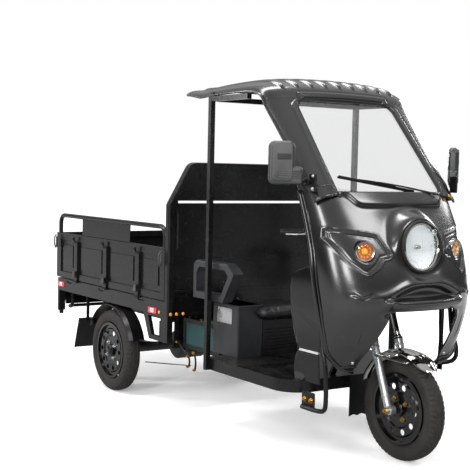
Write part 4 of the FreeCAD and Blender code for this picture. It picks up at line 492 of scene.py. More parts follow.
plate += nuts([(x, -352, 606) for x in (196, 308)], (0, -1, 0), 7)
piece("side_box_plate", plate, stainless)
terminals = [turned([(0, 0), (0, 9), (10, 9), (12, 6), (12, 0)], (x, y, 495), (0, 0, 1), 18)
             for x in (-210, -90, 30, 100) for y in (-235, -280)]
straps = [block((x, -254, 498), (24, 96, 4), 2, 1) for x in (-150, 40)]
piece("battery_terminals", both(terminals), zinc)
piece("battery_straps", both(straps), soft_black)

# The shield's two wings: a folded skin of 4 mm, its rear edge bowed to the driver's shin, over a proud foot.
SHIELD_X, SHIELD_Y, FAR_SHARE = 1112, 400, 0.14
SHIN = np.array([(366, 918), (404, 915), (470, 935), (512, 957), (560, 940), (597, 922), (713, 894), (796, 880),
                 (853, 884), (884, 930), (918, 1052)], float)
rise, run = np.meshgrid(np.linspace(366, 918, 97), np.linspace(0, 1, 45), indexing="ij")
rear = np.interp(rise, SHIN[:, 0], SHIN[:, 1])
skin_x = SHIELD_X - (SHIELD_X - rear) * np.clip(run / 0.7, 0, 1)
skin_x = skin_x - 8 * np.sin(np.pi / 2 * np.clip((run - 0.7) / 0.06, 0, 1))
fold_z = 713 - 0.42 * (skin_x - 894)
bulge = 9 / (1 + np.exp((rise - fold_z) / 3)) - 12 / (1 + np.exp((rise - 512) / 3)) * (run < 0.98)
skin_y = SHIELD_Y - 14 * ((rise - 640) / 280) ** 2 + 3 - bulge * (run < 0.74) * 0.6
skin_y = skin_y - 62 * np.clip((run - 0.7) / 0.3, 0, 1)
outer = np.stack([skin_x, -skin_y, rise], -1)
# The far wing is narrow, as the photo shows daylight through the arch.
far_wing = np.stack([SHIELD_X - FAR_SHARE * (SHIELD_X - outer[..., 0]),
                     SHIELD_Y - FAR_SHARE * (SHIELD_Y + outer[..., 1]), rise], -1)
rolled = [swept(outer[3:-3:3, 33] - (1.5, 0, 0), 3.6, (0, 1, 0), 12)]
wings = folded(outer, outer + (4, 4, 0)) + folded(far_wing, far_wing + (4, -4, 0)) + rolled
piece("leg_shield_wings", wings, gloss_shield, stands_for=["leg_shield"], crease=50)

# The cushion: foam in black vinyl, drawn down at its seams, piped round its top edge.
vinyl = coated("black_grained_vinyl", "#0f0f10", "#17171a", 0.38, 0.06, 1.3, 0.16, patch=60.0,
               specular=0.4)


def cushion(centre, size, corner, crown, rows=26):
    """A crowned pad: rounded-rectangle rings over both faces, z = half height (1 - r^6)^(1/3) + crown."""
    share = np.concatenate([np.linspace(0, 0.8, rows // 2), 1 - np.linspace(0.2, 0, rows // 2) ** 1.6])
    angle = np.linspace(0, 2 * np.pi, 121)
    edge = np.stack([power(np.cos(angle), 0.32), power(np.sin(angle), 0.32)], -1)
    sheets = []
    for side in (1, -1):
        rise = (1 - share ** 6) ** (1 / 3) * size[2] / 2
        bow = crown * (1 - share ** 2) if side > 0 else 0 * share
        flat = share[:, None, None] * edge * np.array(size[:2]) / 2
        height = np.broadcast_to(((rise + bow) * side)[:, None, None], flat.shape[:2] + (1,))
        sheets.append(np.concatenate([flat, height], -1) + np.array(centre, float))
    return sheets


def puffed(pad, voxel=5, push=4.0, limit=9):
    """Blows a pad up: voxel remesh, 20 frames of cloth with inner pressure, the move capped, then smoothed."""
    bpy.context.view_layer.objects.active = pad
    remesh = pad.modifiers.new("even_skin", "REMESH")
    remesh.mode, remesh.voxel_size, remesh.use_smooth_shade = "VOXEL", voxel * MM, True
    bpy.ops.object.modifier_apply(modifier=remesh.name)
    start = np.empty(len(pad.data.vertices) * 3)
    pad.data.vertices.foreach_get("co", start)
    cloth = pad.modifiers.new("blown_foam", "CLOTH")
    cloth.settings.use_pressure, cloth.settings.uniform_pressure_force = True, push
    cloth.settings.effector_weights.gravity = 0
    for step in range(1, 21):
        bpy.context.scene.frame_set(step)
    blown = np.empty_like(start)
    evaluated = pad.evaluated_get(bpy.context.evaluated_depsgraph_get())
    evaluated.data.vertices.foreach_get("co", blown)
    move = (blown - start).reshape(-1, 3)
    length = np.linalg.norm(move, axis=1)[:, None]
    move *= np.minimum(1, limit * MM / np.maximum(length, 1e-9))
    pad.modifiers.remove(cloth)
    bpy.context.scene.frame_set(1)
    pad.data.vertices.foreach_set("co", (start.reshape(-1, 3) + move).ravel())
    pad.data.update()
    finer = pad.modifiers.new("smooth_skin", "SUBSURF")
    finer.levels = finer.render_levels = 1
    bpy.ops.object.modifier_apply(modifier=finer.name)
    pad.data.shade_smooth()


SEAT_X, SEAT_Y = 293, -45
pad = cushion((SEAT_X, SEAT_Y, 594), (318, 396, 52), 40, 12)
puffed(piece("seat_pad", pad, vinyl, stands_for=["seat_cushion"]))
turn = np.linspace(0, 2 * np.pi, 160, endpoint=False)
rim = np.stack([SEAT_X + 160 * power(np.cos(turn), 0.32), SEAT_Y + 199 * power(np.sin(turn), 0.32),
                600 + 0 * turn], -1)
piece("seat_piping", [swept(rim, 3.2, loop=True)], vinyl)

# ---------------- handlebar
# Ribbed rubber grips, die-cast levers and switch housings at the ends of the swept-back bar.

GRIP_LONG, BAR_END_X = 113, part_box("handlebar")[0][0] * 1000
tip, knee = np.array([BAR_END_X + 11, 345, 1050]), np.array([BAR_END_X + 125, 170, 1050])
run = (tip - knee) / np.linalg.norm(tip - knee)
grip = [(0, 0), (0, 15)]
grip += [(4 + 4 * rib + d, 16.5 - r) for rib in range(26) for d, r in ((0, 0), (2.6, 0), (3, 1.6), (3.7, 1.6))]
grip += [(112, 16.5), (114, 20), (118, 20), (119, 12), (119, 0)]
start = tip - run * GRIP_LONG
grips = [turned([(119 - a, r) for a, r in reversed(grip)], start - run, run, 32)]
lever = smoothed([start + (18, 4, 0), start + (44, 18, -4), start + (52, 70, -6), tip + (46, 4, -8)])
levers = [swept(lever, np.interp(np.linspace(0, 1, len(lever)), [0, 0.2, 0.9, 1], [7, 6, 5, 7]), squash=0.6)]
pods = [turned([(0, 0), (0, 20), (3, 22), (30, 22), (33, 20), (33, 0)], start - run * 36, run, 28),
        block(start - run * 18 + (10, 0, -4), (40, 44, 34), 8, 5, (run, np.cross((0, 0, 1), run), (0, 0, 1)))]
piece("bar_grips", both(grips), soft_black, "steering")
piece("brake_levers", both(levers), alloy, "steering")
piece("switch_housings", both(pods), grained, "steering")

# ---------------- nose
# One rotation-moulded shell of matt black polyethylene, 8 mm thick: soft wide highlights over a
# faint pebble, an arched recess with a bill over the wheel, a housing for the lamp, arrow recesses.

NOSE_FOOT, NOSE_TALL, NOSE_REAR, NOSE_LONG, NOSE_HALF = 435, 827, 1000, 408, 450
ARCH_HALF, ARCH_BEND, ARCH_SPRING = 180, 36, 690
LAMP_HOUSING, LAMP_HOLE, TURN_HOLE, TURNED_OUT = 152, 113, 43, math.radians(21)
LAMP = np.array([1346.0, 0, 1014])
LAMP_WAY = (math.cos(math.radians(5)), 0, math.sin(math.radians(5)))
TURN_LAMP = np.array([1284.0, 286, 995])
TURN_WAY = (math.cos(TURNED_OUT), math.sin(TURNED_OUT), 0)
LEVELS = np.array([(0, .466, .856, .502), (.056, .441, .878, .608), (.151, .417, .916, .789),
                   (.254, .392, .951, .912), (.380, .355, .978, 1), (.502, .314, .996, .968),
                   (.683, .245, 1, .828), (.852, .127, .996, .642), (1, 0, .991, .453)])
WRAP = np.array([(0, 1), (.30, .955), (.58, .83), (.80, .60), (.945, .31), (1, 0)])
ARROW = np.array([(422, 1089), (407, 1094), (227, 1069), (215, 1063), (168, 979), (184, 967), (210, 964),
                  (242, 927), (292, 893), (314, 902), (367, 951), (428, 1054)], float)


def spline(knots, values, at):
    """A natural cubic spline: second slopes m solve h m[i-1] + 2 (h + g) m[i] + g m[i+1] = 6 slope steps."""
    knots, values = np.array(knots, float), np.array(values, float)
    step, slope = np.diff(knots), np.diff(values) / np.diff(knots)
    table = np.eye(len(knots))
    inner = np.arange(1, len(knots) - 1)
    table[inner, inner - 1], table[inner, inner + 1] = step[:-1], step[1:]
    table[inner, inner] = 2 * (step[:-1] + step[1:])
    bend = np.linalg.solve(table, np.concatenate([[0], 6 * np.diff(slope), [0]]))
    at = np.asarray(at, float)
    cell = np.clip(np.searchsorted(knots, at) - 1, 0, len(knots) - 2)
    low, high, width = at - knots[cell], knots[cell + 1] - at, step[cell]
    return ((bend[cell] * high ** 3 + bend[cell + 1] * low ** 3) / (6 * width)
            + (values[cell] / width - bend[cell] * width / 6) * high
            + (values[cell + 1] / width - bend[cell + 1] * width / 6) * low)


def inside(outline, y, z):
    """Signed distance to an outline in the YZ plane, positive within it."""
    ends = np.roll(outline, -1, 0)
    spot = np.stack([y, z], -1)[..., None, :]
    run = ends - outline
    share = np.clip(((spot - outline) * run).sum(-1) / (run ** 2).sum(-1), 0, 1)
    away = np.sqrt((((spot - outline) - share[..., None] * run) ** 2).sum(-1)).min(-1)
    over = (outline[:, 1] > z[..., None]) != (ends[:, 1] > z[..., None])
    climb = np.where(run[:, 1] == 0, 1e-9, run[:, 1])
    cross = outline[:, 0] + (z[..., None] - outline[:, 1]) * run[:, 0] / climb
    within = (over & (y[..., None] < cross)).sum(-1) % 2 == 1
    return np.where(within, away, -away)


mirrored_wrap = np.concatenate([WRAP * (1, -1), WRAP[-2::-1]])
wrap_along = np.concatenate([[0], np.cumsum(np.hypot(*np.diff(mirrored_wrap, axis=0).T))])
wrap_along /= wrap_along[-1]


def nose_level(z, column):
    """A column of the levels' table at a height: the side's place, half the width or the front's place."""
    return spline(LEVELS[:, 0], LEVELS[:, column], (z - NOSE_FOOT) / NOSE_TALL)


def bare_nose(z, share):
    """The nose before its details: a level's side, half width and front by splines, wrapped by another."""
    side, wide, front = (nose_level(z, column) for column in (1, 2, 3))
    forward, out = (spline(wrap_along, mirrored_wrap[:, at], share) for at in (0, 1))
    return NOSE_REAR + NOSE_LONG * (side + (front - side) * forward), NOSE_HALF * wide * out


def moulded_nose(z, share, depth=0.0):
    """The bare nose with housing, recess, bill, folds, cowl lip and arrows; depth sets the skin inwards."""
    x, y = bare_nose(z, share)
    flat = np.abs(y)
    away = np.hypot(y, z - LAMP[2])
    face = LAMP[0] - (z - LAMP[2]) * math.tan(math.radians(5))
    x = x + (face - x) * eased(LAMP_HOUSING - away, 32)
    # Under the lamp: the crease, the recess above the bill, the bill, and the ridge that runs out from it.
    crease = 840 - 92 * (y / 230) ** 2
    under = eased(230 - flat, 32)
    x = x - 24 * under * eased(crease - z, 26) + 46 * under * eased(779 - z, 17)
    x = x - 20 * under * bell(z - 722, 20)
    ridge = 790 + 60 * bell(y, 190, 4)
    x = x + 9 * bell(z - ridge, 20) * eased(365 - flat, 32)
    # The cowl's lip under the windscreen, the fold on each cheek, and the dent above each screw.
    lip = 1197 + 58 * eased(flat - 278, 48)
    x = x + 16 * eased(z - lip, 24) * eased(326 - flat, 24)
    fold = 795 - 8 * np.cos((flat - 325) / 40 * np.pi)
    x = x - 7 * bell(z - fold, 7) * bell(flat - 325, 42, 4)
    x = x - 5 * (bell(z - 622, 60, 4) * bell(flat - 306 + (z - 622) ** 2 / 700, 5))
    # What is set in along the skin's own normal: the arrow recesses. The lamps' openings go straight back.
    spots = np.stack([x, y, z], -1)
    outward = np.cross(np.gradient(spots, axis=1), np.gradient(spots, axis=0))
    outward /= np.linalg.norm(outward, axis=-1)[..., None] + 1e-9
    outward *= np.where((outward * (spots - np.array([900, 0, 900]))).sum(-1) > 0, 1, -1)[..., None]
    arrow = inside(ARROW, flat, z)
    sunk = 10 * eased(arrow, 5) + 2.5 * bell(arrow - 13, 3) - 2.2 * bell(arrow + 5, 4)
    turn_away = np.hypot((flat - TURN_LAMP[1]) / math.cos(TURNED_OUT), z - TURN_LAMP[2])
    hole = 60 * eased(LAMP_HOLE - away, 8) + 26 * eased(TURN_HOLE - turn_away, 6)
    return spots - outward * (sunk + depth)[..., None] - np.stack([hole, 0 * hole, 0 * hole], -1)


def share_at(z, y):
    """Where a level of the nose reaches a distance out to the right, as its share of the way round."""
    ways = np.linspace(0, 0.5, 400)
    out = spline(wrap_along, mirrored_wrap[:, 1], ways)
    return np.interp(-y / (NOSE_HALF * nose_level(z, 2)), out, ways)


def opening(z):
    """Half the wheel opening at a height: it widens downwards by 52 mm from under its round upper corners."""
    bend = ARCH_HALF + np.sqrt(np.clip(ARCH_BEND ** 2 - np.clip(z - ARCH_SPRING, 0, ARCH_BEND) ** 2, 0, None))
    flare = 52 * np.clip(ARCH_SPRING - z, 0, None) / (ARCH_SPRING - NOSE_FOOT)
    return np.where(z < ARCH_SPRING + ARCH_BEND, bend + flare, ARCH_HALF)


def rear_corner(z, bend=112):
    """How far the lower rear corner is rounded off at a height: R - sqrt(R^2 - (R - rise)^2)."""
    short = np.clip(NOSE_FOOT + bend - z, 0, bend)
    return bend - np.sqrt(bend ** 2 - short ** 2)


LEG_ROWS, BEND_ROWS = 42, 14
heights = np.concatenate([np.linspace(NOSE_FOOT, ARCH_SPRING - 2, LEG_ROWS),
                          ARCH_SPRING + ARCH_BEND * np.sin(np.linspace(0, np.pi / 2, BEND_ROWS)),
                          np.linspace(ARCH_SPRING + ARCH_BEND + 5, NOSE_FOOT + NOSE_TALL, 108)])
arch_row = LEG_ROWS + BEND_ROWS - 1
edge_share = share_at(heights, opening(heights))[:, None]
start_share = share_at(heights, NOSE_HALF * nose_level(heights, 2) - rear_corner(heights))[:, None]
column = np.linspace(0, 1, 92)[None]
right = moulded_nose(heights[:, None] + 0 * column, start_share + (edge_share - start_share) * column)
middle_column = np.linspace(-1, 1, 72)[None]
above = heights[arch_row:, None]
middle = moulded_nose(above + 0 * middle_column, 0.5 + (0.5 - edge_share[arch_row:]) * middle_column)
right[arch_row:, -1] = middle[:, 0]
left = right * np.array([1, -1, 1])
middle[:, -1] = middle[:, 0] * np.array([1, -1, 1])
nose_plastic = coated("matt_black_moulded_polyethylene", "#0b0b0c", "#111112", 0.25, 0.04, 1.6, 0.006,
                      dust=0.04, patch=260.0, specular=0.40, **{"Coat Weight": 0.5, "Coat Roughness": 0.18})


def walled(made, name, thick, offset=-1.0):
    """Gives an open skin a wall of a thickness in metres, closed round its rims."""
    wall = made.modifiers.new(name, "SOLIDIFY")
    wall.thickness, wall.offset, wall.use_rim = thick, offset, True


nose = piece("moulded_nose", [right, left, middle], nose_plastic, stands_for=["nose_shell"],
             crease=60)
walled(nose, "eight_mm_wall", 0.008)

# The edging: a black extruded trim pushed over the shell's cut edge, and button screws through it.
edge_path = np.concatenate([right[::-1, 0], right[0, 1:]])
inset_path = np.concatenate([right[::-1, 5], right[4, 6:]])
trim = [swept(smoothed(edge_path[::3], 1) + (-3, 0, -2), 12, (0.3, -1, 0.2), 16),
        swept(smoothed(inset_path[::3], 1), 6.5, (0.3, -1, 0.2), 12)]
trim_rubber = coated("glossy_extruded_trim", "#070708", "#0c0c0d", 0.16, 0.04, 3.0, 0.01)
piece("nose_edging", both(trim), trim_rubber)

screw = [(0, 0), (0, 9), (2, 9), (5, 7), (7, 3.5), (7.4, 0)]


def on_nose(y, z, lift=0.0):
    """The point of the moulded nose at a place across and up, and the way it faces."""
    level = np.array([z - 3, z, z + 3], float)[:, None]
    share = share_at(level, np.full_like(level, abs(y)))
    share = share + np.array([[-0.003, 0, 0.003]])
    spots = moulded_nose(level + 0 * share, share)
    way = np.cross(spots[1, 2] - spots[1, 0], spots[2, 1] - spots[0, 1])
    way *= np.sign(way[0]) / np.linalg.norm(way)
    spot = spots[1, 1] + way * lift
    return (spot, way) if y < 0 else (spot * (1, -1, 1), way * (1, -1, 1))


screws = [turned(screw, *on_nose(y, z, -1), 20) for y, z in ((-290, 478), (290, 478))]
piece("nose_screws", screws, bright)

# ---------------- roof and windscreen
# Roof, header and pillars are one moulding like the nose: ribs run along its top, its sides turn down
# to a beaded edge. The toughened pane sits in a black rubber section inside a grooved frame.

wear(nose_plastic, "headlamp_bezel")
LOW_EDGE, HIGH_EDGE = np.array([1150.0, 344, 1263]), np.array([780.0, 317, 1694])
GLASS_FOOT = LOW_EDGE * (1, 0, 1)
UP_GLASS = (HIGH_EDGE - LOW_EDGE) * (1, 0, 1) / np.linalg.norm((HIGH_EDGE - LOW_EDGE) * (1, 0, 1))
GLASS_OUT = np.array([UP_GLASS[2], 0, -UP_GLASS[0]])
ROOF_LINE = [(767, 0, 1729), (757, 0, 1743), (745, 0, 1757), (730, 0, 1770), (712, 0, 1781), (692, 0, 1790),
             (662, 0, 1800), (628, 0, 1806), (560, 0, 1810), (475, 0, 1809), (300, 0, 1802), (149, 0, 1791),
             (74, 0, 1787), (33, 0, 1779)]
LOWEST, PANE_TOP, PANE_CORNER = -14, 582, 58
RIB_PITCH, RIB_HALF, RIB_HIGH, RIBS_FROM, RIBS_TO = 88, 27, 10, 640, 1350
glass_line = [GLASS_FOOT + UP_GLASS * rise + GLASS_OUT * 6 for rise in (LOWEST, 150, 300, 450, 575)]
spine = smoothed(glass_line + ROOF_LINE, 3)
spine_along = LOWEST + np.concatenate([[0], np.cumsum(np.linalg.norm(np.diff(spine, axis=0), axis=1))])
HALF_WIDTH = np.array([(-14, 441), (177, 443), (308, 447), (440, 452), (572, 459), (700, 465), (900, 474),
                       (1100, 479), (1400, 480)])
SIDE_DROP = np.array([(-14, 70), (600, 70), (900, 75), (1230, 72), (1390, 36)])
SECTION = smoothed([(0, 0), (.3, .03), (.5, .09), (.66, .18), (.78, .28), (.87, .40), (.93, .53), (.965, .67),
                    (.985, .81), (1, 1)], 2)
section_reach = np.concatenate([[0], np.cumsum(np.hypot(*(np.diff(SECTION, axis=0) * (470, 75)).T))])
section_reach /= section_reach[-1]


def pane_half(along):
    """Half the pane's opening at a height up the glass: it narrows upwards to round upper corners."""
    short = np.clip(along - (PANE_TOP - PANE_CORNER), 0, PANE_CORNER)
    return 330 - 22 * np.clip(along, 0, None) / PANE_TOP - PANE_CORNER + np.sqrt(PANE_CORNER ** 2 - short ** 2)


def cab_skin(along, reach, lift=0.0):
    """A point of the roof's skin: spine(along) + y, less the section's drop along its normal, with ribs."""
    flat = np.clip(along, LOWEST, spine_along[-1])
    middle, ahead, behind = (
        np.stack([np.interp(flat + step, spine_along, spine[:, axis]) for axis in range(3)], -1)
        for step in (0, 6, -6))
    tangent = (ahead - behind) / np.linalg.norm(ahead - behind, axis=-1)[..., None]
    normal = np.stack([tangent[..., 2], 0 * flat, -tangent[..., 0]], -1)
    lane = np.interp(np.abs(reach), section_reach, SECTION[:, 0])
    y = np.sign(reach) * lane * np.interp(along, *HALF_WIDTH.T)
    drop = np.interp(np.abs(reach), section_reach, SECTION[:, 1]) * np.interp(along, *SIDE_DROP.T)
    off_pane = np.maximum(np.abs(y) - pane_half(np.clip(along, 0, PANE_TOP)), along - PANE_TOP)
    relief = 2.2 * bell(off_pane - 30, 5) - 4.0 * bell(off_pane - 42, 3.5)
    relief -= 7 * bell(off_pane, 6)
    from_rib = np.abs(np.mod(y + RIB_PITCH / 2, RIB_PITCH) - RIB_PITCH / 2)
    rib = eased(RIB_HALF * np.clip((along - RIBS_FROM) / 110, 0, 1) - from_rib, 7)
    relief += RIB_HIGH * rib * eased(RIBS_TO - along, 30) * eased(392 - np.abs(y), 20) * eased(along - 652, 14)
    out = relief - drop + lift
    return middle + out[..., None] * normal + np.stack([0 * y, y, 0 * y], -1)


def reach_at(along, y):
    """How far round the section a distance from the middle lies."""
    return np.interp(y / np.interp(along, *HALF_WIDTH.T), SECTION[:, 0], section_reach)


SIDE_ROWS, CORNER_ROWS = 42, 16
corner_turn = np.linspace(0.1, np.pi / 2, CORNER_ROWS)
up_rows = np.concatenate([np.linspace(LOWEST, PANE_TOP - PANE_CORNER, SIDE_ROWS),
                          PANE_TOP - PANE_CORNER + PANE_CORNER * np.sin(corner_turn),
                          np.linspace(PANE_TOP + 4, spine_along[-1], 130)])
pane_rows = SIDE_ROWS + CORNER_ROWS
inner_edge = np.where(np.arange(len(up_rows)) < pane_rows, pane_half(up_rows), pane_half(np.array(PANE_TOP)))
inner_reach = reach_at(up_rows, inner_edge)[:, None]
across = np.linspace(0, 1, 72)[None]
right_top = cab_skin(up_rows[:, None] + 0 * across, -(inner_reach + (1 - inner_reach) * across))
lanes = np.linspace(-1, 1, 120)[None]
centre_top = cab_skin(up_rows[pane_rows - 1:, None] + 0 * lanes, inner_reach[pane_rows - 1:] * lanes)
walled(piece("moulded_roof", [right_top, right_top * (1, -1, 1), centre_top], nose_plastic,
             stands_for=["cab_top"], crease=60), "six_mm_wall", 0.006)
side_line = right_top[:, -1]
rear_line = np.concatenate([right_top[-1, ::-1], (right_top[-1] * (1, -1, 1))])
beads = [swept(side_line[::3], 6, (0, 1, 0.02), 12), swept(side_line[::3] * (1, -1, 1), 6, (0, 1, 0.02), 12),
         swept(rear_line[::3], 6, (1, 0, 0), 12)]
piece("roof_edge_beads", beads, nose_plastic)

# The collar: the moulding carried up from the nose's top edge round the pillars' feet.
FOOT = np.array([(0, 217, 1), (.05, 160, .985), (.10, 95, .95), (.14, 50, .89), (.18, 52, .84), (.205, 58, .80),
                 (.225, 46, .755), (.24, 14, .725), (.26, -6, .68), (.5, -8, 0)])
way_round = np.linspace(0, 0.5, 120)
foot_up, foot_reach = (np.interp(way_round, FOOT[:, 0], FOOT[:, at]) for at in (1, 2))
upper = cab_skin(foot_up, -foot_reach, 2.0)
lower = moulded_nose(np.array([[1256.0], [1262.0]]) + 0 * way_round, way_round[None] + np.zeros((2, 1)))[1]
climb = np.linspace(0, 1, 14)[:, None, None]
turn_in = climb * np.pi / 2 * np.ones(3)
strip = lower + (upper - lower) * np.where([True, True, False], np.sin(turn_in), 1 - np.cos(turn_in))
strip += (0, 0, -3) * (1 - climb)
strip[:, -1, 1] = 0
walled(piece("pillar_collar", both([strip]), nose_plastic, crease=60), "five_mm_wall", 0.005, 0.0)


def clear(name, tint, rough, ior=1.45):
    """A clear finish: light goes through, and a faint film varies its gloss."""
    return coated(name, tint, tint, rough + 0.01, 0.01, 6.0, 0.004, **{"Transmission Weight": 1.0, "IOR": ior})


glass = clear("toughened_clear_glass", "#feffff", 0.0)
pane_edge = right_top[:pane_rows, 0]
pane_loop = np.concatenate([pane_edge, pane_edge[::-1] * (1, -1, 1)]) - GLASS_OUT * 4
lane = np.linspace(-1.02, 1.02, 40)[None, :, None]
outside = pane_edge[:, None] * (1, 0, 1) + pane_edge[:, None] * (0, 1, 0) * lane - GLASS_OUT * 5
within = outside - GLASS_OUT * 5
piece("toughened_pane", folded(outside, within), glass, stands_for=["windscreen"])
seal = smoothed(np.concatenate([pane_loop, pane_loop[:1]]), 1)[:-1]
seal = swept(seal[::2] + GLASS_OUT, 7, GLASS_OUT, 12, 0.8, loop=True)
piece("windscreen_seal", [seal], soft_black)

BLADE_RIGHT, BLADE_LEFT = np.array([1114.0, -316, 1326]), np.array([1170.0, 104, 1262])
ELBOW, SPINDLE = np.array([1160.0, 40, 1276]), np.array([1190.0, 318, 1232])


def on_blade(share, lift):
    """A place over the blade's line, a share of the way from its right end."""
    return BLADE_RIGHT * (1 - share) + BLADE_LEFT * share + GLASS_OUT * lift


blade_path = np.linspace(BLADE_RIGHT, BLADE_LEFT, 24)
blade = [swept(blade_path, 5.0, GLASS_OUT, 10, 1.4), swept(blade_path + GLASS_OUT * 8, 3.6, GLASS_OUT, 10)]
piece("wiper_blade", blade, soft_black)
bow = smoothed([on_blade(0.25, 9), on_blade(0.5, 17), on_blade(0.75, 9)])
arm = smoothed([on_blade(0.5, 18), ELBOW + GLASS_OUT * 16, ELBOW * 0.6 + SPINDLE * 0.4 + GLASS_OUT * 14,
                SPINDLE + GLASS_OUT * 10])
piece("wiper_arm", [swept(bow, 4, GLASS_OUT), swept(arm, np.linspace(4, 7, len(arm)), GLASS_OUT, 12, 0.6),
                    block(SPINDLE + GLASS_OUT * 6, (34, 26, 14), 8, 4, (UP_GLASS, (0, 1, 0), GLASS_OUT))],
      powder_coat)
brass = coated("polished_brass", "#c79a4b", "#b0863f", 0.22, 0.06, 1.2, 0.05, Metallic=1.0)
spindle_nuts = nut(SPINDLE + GLASS_OUT * 11, GLASS_OUT, 16) + nut(SPINDLE + (4, -34, -8), (0.8, 0, 0.4), 12)
piece("wiper_spindle_nuts", spindle_nuts, brass)

# ---------------- headlamp
# A deep-drawn, aluminised reflector with flutes behind a pressed clear lens with a grid of prisms,
# held by a chromed ring; a dark recess ring of the shell's plastic stands round it.

reflector = coated("aluminised_reflector", "#fdfdfd", "#f2f4f6", 0.28, 0.03, 3.0, 0.02, Metallic=0.75)
radius, angle = np.meshgrid(np.linspace(0, 1, 40), np.linspace(0, 2 * np.pi, 145), indexing="ij")
way, aside, over = basis(LAMP_WAY)


def lamp_sheet(centre, along, out, facing):
    """Points of a round sheet: centre + along way + out (cos a, sin a)."""
    way, aside, over = basis(facing)
    return np.array(centre, float) + along[..., None] * way + out[..., None] * (
        np.cos(angle)[..., None] * aside + np.sin(angle)[..., None] * over)


def capped(front, back):
    """Two round sheets and the wall that joins their rims."""
    return [front, back, np.stack([front[-1], back[-1]])]


flute = 0.8 * np.cos(36 * angle) * eased(radius - 0.3, 0.1) * np.cos(radius * 18)
bowl = lamp_sheet(LAMP, -35 + 20 * radius ** 2 + flute, 103 * radius, LAMP_WAY)
back = lamp_sheet(LAMP, -37 + 20 * radius ** 2, 103 * radius, LAMP_WAY)
piece("headlamp_reflector", capped(bowl, back), reflector)
bulb = [(0, 0), (0, 12), (6, 12), (8, 8), (22, 8), (26, 6), (28, 0)]
piece("headlamp_bulb_cap", [turned(bulb, LAMP + np.array(LAMP_WAY) * -36, LAMP_WAY, 28)], chrome)
lens_glass = clear("pressed_clear_lens", "#f4f7f8", 0.02, 1.49)
bulge = 12 * (1 - radius ** 2) - 3
across, upward = 103 * radius * np.cos(angle), 103 * radius * np.sin(angle)
prisms = 1.1 * np.abs(np.sin(across * np.pi / 10)) * np.abs(np.sin(upward * np.pi / 10))
prisms = prisms * eased(0.93 - radius, 0.06)
front = lamp_sheet(LAMP, bulge, 103 * radius, LAMP_WAY)
behind = lamp_sheet(LAMP, bulge - 3.2 - prisms, 103 * radius, LAMP_WAY)
pressed = capped(front, behind)
piece("headlamp_lens_pressed", pressed, lens_glass, stands_for=["headlamp_lens"], crease=20)
ring = [(-6, 101), (4, 101), (7, 104), (5, 109), (-6, 110), (-6, 101)]
piece("headlamp_ring", [turned(ring, LAMP, LAMP_WAY, 96)], chrome)
rims = [(-4, 110), (7, 112), (10, 117), (6, 122), (-6, 124), (-4, 110)]
piece("headlamp_recess_ring", [turned(rims, LAMP, LAMP_WAY, 96)], soft_black)
lobe = [(0, 0), (0, 15), (5, 15), (9, 11), (11, 0)]
piece("headlamp_clip", [turned(lobe, LAMP + np.array([2.0, 74, 66]), LAMP_WAY, 28)], lens_glass)

# ---------------- indicators
# Amber polycarbonate domes with a ring of moulded dots over an orange dish, in chromed bezels. Pale yellow
# buttons behind each dome are painted highlight: they stand for the glints of the dots and of the centre.

amber = clear("amber_polycarbonate", "#ffe6b0", 0.03, 1.49)
amber_dish = coated("orange_reflector_dish", "#c8740a", "#8f4a06", 0.30, 0.05, 3.0, 0.05, patch=12.0)
# Painted highlight: a pale yellow copy of the amber plastic, for the buttons that stand for the dots' glints.
glint_amber = coated("painted_glint_amber", "#ffd868", "#ffc040", 0.15, 0.05, 3.0, 0.02, patch=10.0)
radius, angle = radius[:, ::2], angle[:, ::2]
dots = 1.6 * bell(radius - 0.66, 0.10) * np.clip(np.cos(12 * angle), 0, 1)
core = 3.0 * bell(radius, 0.22)
dome_face = lamp_sheet(TURN_LAMP, 9 * (1 - radius ** 2) + dots + core, 40 * radius, TURN_WAY)
dome_back = lamp_sheet(TURN_LAMP, 9 * (1 - radius ** 2) - 3, 40 * radius, TURN_WAY)
dish = lamp_sheet(TURN_LAMP, -14 + 12 * radius ** 2 - 1.5 * dots, 40 * radius, TURN_WAY)
dish_back = lamp_sheet(TURN_LAMP, -17 + 12 * radius ** 2, 40 * radius, TURN_WAY)
domes = both(capped(dome_face, dome_back))
piece("indicator_lenses", domes, amber, stands_for=["indicators"], crease=30)
piece("indicator_dishes", both(capped(dish, dish_back)), amber_dish)
way, aside, over = basis(TURN_WAY)
# A ring of twelve buttons and a round core behind each dome, in that pale yellow: painted highlight where the
# dots and the centre glint.
button = [(0, 0), (0, 4.2), (2, 3.6), (3.4, 1.8), (3.8, 0)]
spots = [TURN_LAMP + 27 * (math.cos(turn) * aside + math.sin(turn) * over) - 8 * way
         for turn in np.arange(12) * np.pi / 6]
glint_buttons = [turned(button, spot, TURN_WAY, 14) for spot in spots]
glint_buttons.append(turned([(0, 0), (0, 15), (5, 14), (10, 9), (12, 0)], TURN_LAMP - 13 * way, TURN_WAY, 28))
piece("indicator_painted_glints", both(glint_buttons), glint_amber)
bezel = [(-22, 39), (3, 39), (5, 41.5), (4, 45), (-2, 47), (-22, 47), (-22, 39)]
piece("indicator_bezels", both([turned(bezel, TURN_LAMP, TURN_WAY, 64)]), chrome)

# ---------------- side tubes
# One bent tube each side behind the shell's edge, powder-coated; the right one ends in a foot that two
# brass bolts hold under the sill, the left one turns in to the floor's front corner.

